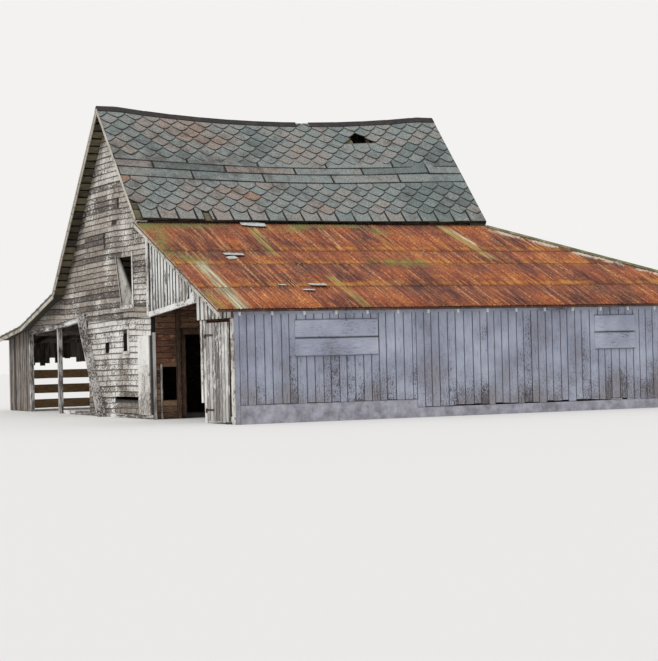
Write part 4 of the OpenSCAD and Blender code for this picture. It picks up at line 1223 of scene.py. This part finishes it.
def tile(bm, y, shoulder, wide, drop, thick, tone, tilt, slip=0.0, turn=0.0, straight=0.0):
    """One shingle drawn flat: down the slope, along it, above it. It has a six-sided lower part, or a
    square one straight metres long."""
    tones, rims = layer(bm), layer(bm, "rim")
    top = 0.27
    half = wide / 2 - 0.002
    if straight:
        outline = [(-top, -half), (-top, half), (straight, half), (straight, -half)]
        drop = straight
    else:
        bend = [k / 5 for k in range(5, -6, -1)]
        outline = [(-top, -half), (-top, half)] + [(drop * (1 - abs(k) ** 1.5), k * half) for k in bend]
    ring = [bm.verts.new((a, b, 0.0)) for a, b in outline]
    face = bm.faces.new(ring)
    raised = bmesh.ops.extrude_face_region(bm, geom=[face])["geom"]
    upper = [g for g in raised if isinstance(g, bmesh.types.BMVert)]
    cap = [g for g in raised if isinstance(g, bmesh.types.BMFace)]
    bmesh.ops.translate(bm, vec=(0, 0, thick), verts=upper)
    border = bmesh.ops.inset_region(bm, faces=cap, thickness=0.042, depth=0.0, use_even_offset=True)["faces"]
    made = set(ring) | {v for f in border + cap for v in f.verts}
    # The rim layer marks the near-black joint: worn edge and painted shadow under the lower edge
    for v in made:
        if straight:
            v[rims] = 1.0 if v.co.x > straight - 0.02 else 0.38 if wide < 1 else 0.22
        else:
            # The joint's painted shadow is widest under a shingle's tip
            v[rims] = 0.42 + 0.58 * max(0.0, v.co.x) / drop
        v[tones] = tone
    for v in cap[0].verts:
        v[rims] = 0.0
    cos_t, sin_t = math.cos(turn), math.sin(turn)
    for v in made:
        a, b = v.co.x, v.co.y
        v.co.z += -0.016 + tilt * (a + top) / (drop + top)
        v.co.x = shoulder + slip + a * cos_t - b * sin_t
        v.co.y = y + a * sin_t + b * cos_t


def tile_course(bm, rng, look, shoulder, row, missing=(), straight=0.0, tilt=0.02, wide=0.0, shift=0.0):
    """A course of shingles from the front edge of the roof to the back; rows given a width are strips."""
    wide, drop = wide or look.tile, look.course - 0.05
    y = (0.0 if row % 2 else wide / 2) - wide + shift
    while y < ROOF_END + wide:
        if not any(m[0] < shoulder < m[1] and m[2] < y < m[3] for m in missing):
            odd = rng.random()
            slip = rng.uniform(0.008, 0.035) if odd < 0.05 else 0.0
            turn = rng.uniform(-0.05, 0.05) if odd < 0.08 else rng.uniform(-0.006, 0.006)
            # Warm tiles and teal ones gather in patches, and the far end has more of the teal
            warm = noise.noise(Vector((shoulder * 0.8, y * 0.45, 4.0))) * 0.5 - max(0.0, y - 5.5) * 0.07
            tone = min(0.97, max(0.0, 0.25 + warm + 0.6 * rng.random()))
            # A few are a fresh brown
            if rng.random() < 0.012:
                tone = 0.995
            tile(bm, y, shoulder, wide, drop, look.tile_thickness, tone, tilt, slip, turn, straight)
        y += wide


class BARN_OT_shingles(bpy.types.Operator):
    """Hexagonal shingles on the main roof and on the low roof at the left"""
    bl_idname = "barn.shingles"
    bl_label = "Shingles"

    def execute(self, context):
        look = looks("roofs")
        rng = random.Random(14)
        bm = new_bm()
        length = RIGHT_RUN / MAIN_COS
        for row in range(8):
            tile_course(bm, rng, look, -0.0135 + row * look.course, row, GONE_HOLE)
        # Straight courses half way down
        for row, shoulder in ((8, 1.70), (9, 1.97), (10, 2.31)):
            tile_course(bm, rng, look, shoulder, row, straight=0.26, tilt=0.018, wide=1.9)
        for row in range(11, 16):
            tile_course(bm, rng, look, 2.69 + (row - 11) * look.course, row, GONE_CORNER)
        tile_course(bm, rng, look, length - STARTER, 16, GONE_EAVE, straight=STARTER, shift=0.17)
        # What is left of two broken ones at the eave
        for y, wide in ((1.676, 0.2), (1.985, 0.11)):
            tile(bm, y, length - STARTER, wide, STARTER, look.tile_thickness, 0.4, 0.02, straight=STARTER)
        self.lay(bm, "main_roof_right", 1, 0.0, MAIN_COS, length, "shingles_right")
        length = LEFT_RUN / MAIN_COS
        bm = self.courses(rng, look, length, GONE_LEFT)
        self.lay(bm, "main_roof_left", -1, 0.0, MAIN_COS, length, "shingles_left")
        for node, x0, x1, name in (("left_roof", KINK_X, BREAK_X, "shingles_low"),
                                   ("left_outer_roof", BREAK_X, LEFT_EAVE_X, "shingles_outer")):
            cosine = math.cos(math.atan((left_top(x0) - left_top(x1)) / (x0 - x1)))
            length = (x0 - x1) / cosine
            bm = self.courses(rng, look, length)
            bmesh.ops.translate(bm, verts=bm.verts, vec=(0, 0, 0.018))
            self.lay(bm, node, -1, x0, cosine, length, name)
        dress(sheathing_wood(), "left_roof", "left_outer_roof")
        return {"FINISHED"}

    def courses(self, rng, look, length, missing=()):
        """A straight course at the eave and six-sided ones above it."""
        bm = new_bm()
        shoulder, row = length - STARTER, 0
        tile_course(bm, rng, look, shoulder, row, straight=STARTER)
        shoulder -= 0.12
        while shoulder > -0.15:
            row += 1
            tile_course(bm, rng, look, shoulder, row, missing)
            shoulder -= look.course
        return bm

    def lay(self, bm, node, side, x0, cosine, length, name):
        """Cuts the courses off at the roof's edges and lays them on it."""
        trim(bm, (0, 0.004, 0), (0, -1, 0))
        trim(bm, (0, ROOF_END - 0.004, 0), (0, 1, 0))
        trim(bm, (0.012, 0, 0), (-1, 0, 0))
        trim(bm, (length - 0.001, 0, 0), (1, 0, 0))
        lay_on(bm, surface_of(node), side, x0, cosine)
        piece(bm, name, shingle_finish())


class BARN_OT_metal_roofs(bpy.types.Operator):
    """Ribbed sheets on the lean-to and round the far end, their hip cap and what lies on them"""
    bl_idname = "barn.metal_roofs"
    bl_label = "Metal roofs"

    def execute(self, context):
        rng = random.Random(15)
        right = rust_finish("rusted_ribbed_sheets_right", "x", (4.42, 5.32, 6.6), RUNS, MOSS, past_hip=True)
        self.roof(rng, "right", RIGHT_ROWS, 0.0, FAR_Y, (-1, 1, 0), lambda co: lean_top(co.x), right)
        end = rust_finish("rusted_ribbed_sheets_end", "y", (10.45, 12.25))
        self.roof(rng, "end", END_ROWS, spot("end_roof")[0].x, EAVE_X, (1, -1, 0), lambda co: end_top(co.y),
                  end)
        self.hip_cap()
        # The slabs under the sheets show at the edges as a painted shadow line
        dress(sheet_underside(), "right_roof", "end_roof")
        self.loose_shingles(rng)
        return {"FINISHED"}

    def roof(self, rng, name, rows, p0, p1, past_hip, height, finish):
        """Rows of sheets, the lowest first, cut off at the hip; they run from p0 to p1 along the eave."""
        look = looks("roofs")
        bm = new_bm()
        for a, b in reversed(rows):
            for p, end in lengths(p0 + 0.003, p1 - 0.002, lambda: look.rib * look.sheet, 0.0):
                self.sheet(bm, rng, look, name == "end", a, b, p, end)
        trim(bm, (EAVE_X, FAR_Y, 0), past_hip, close=False)
        for v in bm.verts:
            v.co.z += height(v.co)
        thicken(bm, -0.0015)
        piece(bm, "ribbed_sheets_" + name, finish, smooth=True)

    def sheet(self, bm, rng, look, turned, a, b, p0, p1):
        """One ribbed sheet from a to b down the slope and from p0 to p1 along it."""
        tones, tone = layer(bm), rng.random()
        steps = max(2, int(round((p1 - p0) / look.rib * 6)))
        rows = max(2, int((b - a) / 0.5))
        lift, lean = rng.uniform(0.0, 0.004), rng.uniform(-0.004, 0.004)
        for v in bmesh.ops.create_grid(bm, x_segments=rows, y_segments=steps, size=0.5)["verts"]:
            share = v.co.x + 0.5
            s, p = a + share * (b - a), p0 + (v.co.y + 0.5) * (p1 - p0)
            rib = 0.5 - 0.5 * math.cos(2 * math.pi * p / look.rib)
            dent = max(0.0, noise.noise(Vector((s * 0.9, p * 0.9, 2.0)))) * 0.0024
            z = 0.005 + look.rib_depth * rib + lift + share * 0.007 - dent
            v.co = (p + lean * share, s, z) if turned else (s, p + lean * share, z)
            v[tones] = tone

    def hip_cap(self):
        """A strip bent over the hip, from the main roof's end down to the corner."""
        bm = new_bm()
        upper, lower = ROOF_END + 0.01, FAR_Y - 0.11
        for v in bmesh.ops.create_grid(bm, x_segments=24, y_segments=8, size=0.5)["verts"]:
            across = v.co.y * 0.3
            y = upper + (v.co.x + 0.5) * (lower - upper)
            x = EAVE_X - (FAR_Y - y) + across * math.sqrt(0.5)
            y -= across * math.sqrt(0.5)
            v.co = (x, y, min(lean_top(x), end_top(y)) + 0.031 + 0.012 * math.cos(across * 9))
        thicken(bm, -0.002)
        piece(bm, "hip_cap_sheet", hip_rust(), smooth=True, replaces=("hip_cap",))

    def loose_shingles(self, rng):
        """Whole and broken shingles that slid off the main roof on to the sheets."""
        bm = new_bm()
        for x, y, long, wide, turn, raised in LOOSE:
            part = new_bm()
            board(part, (-wide / 2, -long / 2, 0.0), (wide / 2, long / 2, 0.009), rng.random(), cuts=3,
                  axis=1)
            for v in part.verts:
                v.co.x *= 1.0 - 0.9 * (v.co.y / long) ** 2 * rng.uniform(0.3, 1.0)
            bmesh.ops.rotate(part, cent=(0, 0, 0), matrix=Matrix.Rotation(turn, 3, "Z"), verts=part.verts)
            for v in part.verts:
                v.co.z += 0.036 + raised * (v.co.x / wide + 0.5) + lean_top(x + v.co.x)
                v.co.x += x
                v.co.y += y
            join(bm, part)
        piece(bm, "loose_shingles", bleached_shingles())


class BARN_OT_edges(bpy.types.Operator):
    """Ridge and rake finishes, and strips over the ends of the roof boards"""
    bl_idname = "barn.edges"
    bl_label = "Roof edges"

    def execute(self, context):
        rng = random.Random(16)
        bm = new_bm()
        for y in (0.0, ROOF_END - 0.006):
            y0, y1 = y + 0.0002, y + 0.0058
            for node, side, run in (("main_roof_right", 1, RIGHT_RUN), ("main_roof_left", -1, LEFT_RUN)):
                part = new_bm()
                board(part, (0.0, y0, -0.052), (run / MAIN_COS, y1, 0.006), rng.random(), cuts=6, axis=0)
                lay_on(part, surface_of(node), side, cosine=MAIN_COS)
                join(bm, part)
            for x0, x1 in ((KINK_X, BREAK_X), (BREAK_X, LEFT_EAVE_X)):
                part = new_bm()
                board(part, (x1, y0, -LOW_ROOF), (x0, y1, 0.012), rng.random())
                for v in part.verts:
                    v.co.z += left_top(v.co.x) if v.co.x > x1 + 0.01 else left_top(x1)
                join(bm, part)
        part = new_bm()
        board(part, (CRIB_RIGHT, 0.0002, -0.03), (EAVE_X, 0.0026, 0.016), rng.random())
        for v in part.verts:
            v.co.z += lean_top(v.co.x)
        join(bm, part)
        piece(bm, "rake_strips", rake_paint())
        dress(ridge_wood(), "ridge_caps")
        dress(rake_paint(), "rake_boards")
        return {"FINISHED"}


class BARN_OT_framing(bpy.types.Operator):
    """Finishes of the rafters, eave boards and footing"""
    bl_idname = "barn.framing"
    bl_label = "Framing"

    def execute(self, context):
        dress(brown_wood("x"), "main_rafters", "left_rafters")
        dress(tail_paint(), "right_rafters", "hip_rafter")
        dress(grey_wood("y"), "end_rafters")
        dress(long_wall_paint(), "eave_boards")
        dress(footing_concrete(), "long_footing")
        return {"FINISHED"}


# Camera and stage


# Where the photograph was taken from, solved from the lines of the roofs and walls, in the frame's metres
EYE = (45.196, -21.605, 1.464)
YAW, PITCH, ROLL = 1.1339, 0.0124, -0.0244
LENS_MM, SENSOR_MM = 100.57, 36.0


class BARN_OT_stage(bpy.types.Operator):
    """The camera at the photograph's angle, the floor and the light"""
    bl_idname = "barn.stage"
    bl_label = "Stage"

    def execute(self, context):
        look = looks("stage")
        scene = context.scene
        eye = bpy.data.cameras.new("camera")
        eye.sensor_width, eye.lens, eye.clip_end = SENSOR_MM, LENS_MM, 500.0
        scene.camera = linked("camera", eye)
        ahead = Vector((-math.sin(YAW) * math.cos(PITCH), math.cos(YAW) * math.cos(PITCH), math.sin(PITCH)))
        right = ahead.cross(Vector((0, 0, 1))).normalized()
        up = right.cross(ahead)
        over = up * math.cos(ROLL) - right * math.sin(ROLL)
        turn = Matrix((over.cross(-ahead), over, -ahead)).transposed()
        scene.camera.matrix_world = Matrix.Translation(EYE) @ turn.to_4x4()

        bm = bmesh.new()
        bmesh.ops.create_grid(bm, x_segments=1, y_segments=1, size=160.0)
        mesh = bpy.data.meshes.new("floor")
        bm.to_mesh(mesh)
        bm.free()
        floor = linked("floor", mesh)
        floor.location.z = -0.002
        made, tree, shader = start("pale_studio_floor")
        shader.inputs["Base Color"].default_value = look.floor
        shader.inputs["Roughness"].default_value = 0.95
        mesh.materials.append(made)

        lamp = bpy.data.lights.new("soft_sun", "SUN")
        lamp.energy, lamp.angle = look.sun, math.radians(25)
        linked("soft_sun", lamp).rotation_euler = (math.radians(48), 0.0, math.radians(12))

        # The sky lights the barn, and a plain pale backdrop is what the camera and reflections see
        world = bpy.data.worlds.new("studio")
        scene.world = world
        world.use_nodes = True
        tree = world.node_tree
        tree.nodes.clear()
        light = add(tree, "ShaderNodeBackground", {"Color": linear("#f6f7fb"), "Strength": look.sky})
        seen = add(tree, "ShaderNodeBackground", {"Color": linear("#f3f2f0"), "Strength": 1.0})
        path = add(tree, "ShaderNodeLightPath").outputs
        direct = path["Is Camera Ray"]
        for ray in ("Is Glossy Ray", "Is Transmission Ray"):
            direct = add(tree, "ShaderNodeMath", {0: direct, 1: path[ray]}, operation="MAXIMUM").outputs[0]
        mixed = add(tree, "ShaderNodeMixShader", {0: direct, 1: light.outputs[0], 2: seen.outputs[0]})
        add(tree, "ShaderNodeOutputWorld", {"Surface": mixed.outputs[0]})
        scene.view_settings.view_transform = "Standard"
        return {"FINISHED"}


STEPS = (BARN_OT_stage, BARN_OT_front_siding, BARN_OT_back_siding, BARN_OT_long_walls, BARN_OT_lean_front,
         BARN_OT_left_bay, BARN_OT_crib_walls, BARN_OT_plank_door, BARN_OT_openings, BARN_OT_roof_boards,
         BARN_OT_shingles, BARN_OT_metal_roofs, BARN_OT_edges, BARN_OT_framing)


class BARN_PT_panel(bpy.types.Panel):
    """Lists the barn's sizes and the steps that build it"""
    bl_idname = "BARN_PT_panel"
    bl_label = "Barn"
    bl_space_type = "VIEW_3D"
    bl_region_type = "UI"
    bl_category = "Barn"

    def draw(self, context):
        for kind, group in LOOKS.items():
            box = self.layout.box()
            for name in group.__annotations__:
                box.prop(looks(kind), name)
        for step in STEPS:
            self.layout.operator(step.bl_idname)


def register():
    for group in (*LOOKS.values(), *STEPS, BARN_PT_panel):
        bpy.utils.register_class(group)
    for kind, group in LOOKS.items():
        setattr(bpy.types.Scene, "barn_" + kind, PointerProperty(type=group))


def unregister():
    for kind in LOOKS:
        delattr(bpy.types.Scene, "barn_" + kind)
    for group in reversed((*LOOKS.values(), *STEPS, BARN_PT_panel)):
        bpy.utils.unregister_class(group)


def main():
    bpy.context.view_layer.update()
    register()
    for step in STEPS:
        getattr(bpy.ops.barn, step.bl_idname.split(".")[1])()


if __name__ == "__main__":
    main()
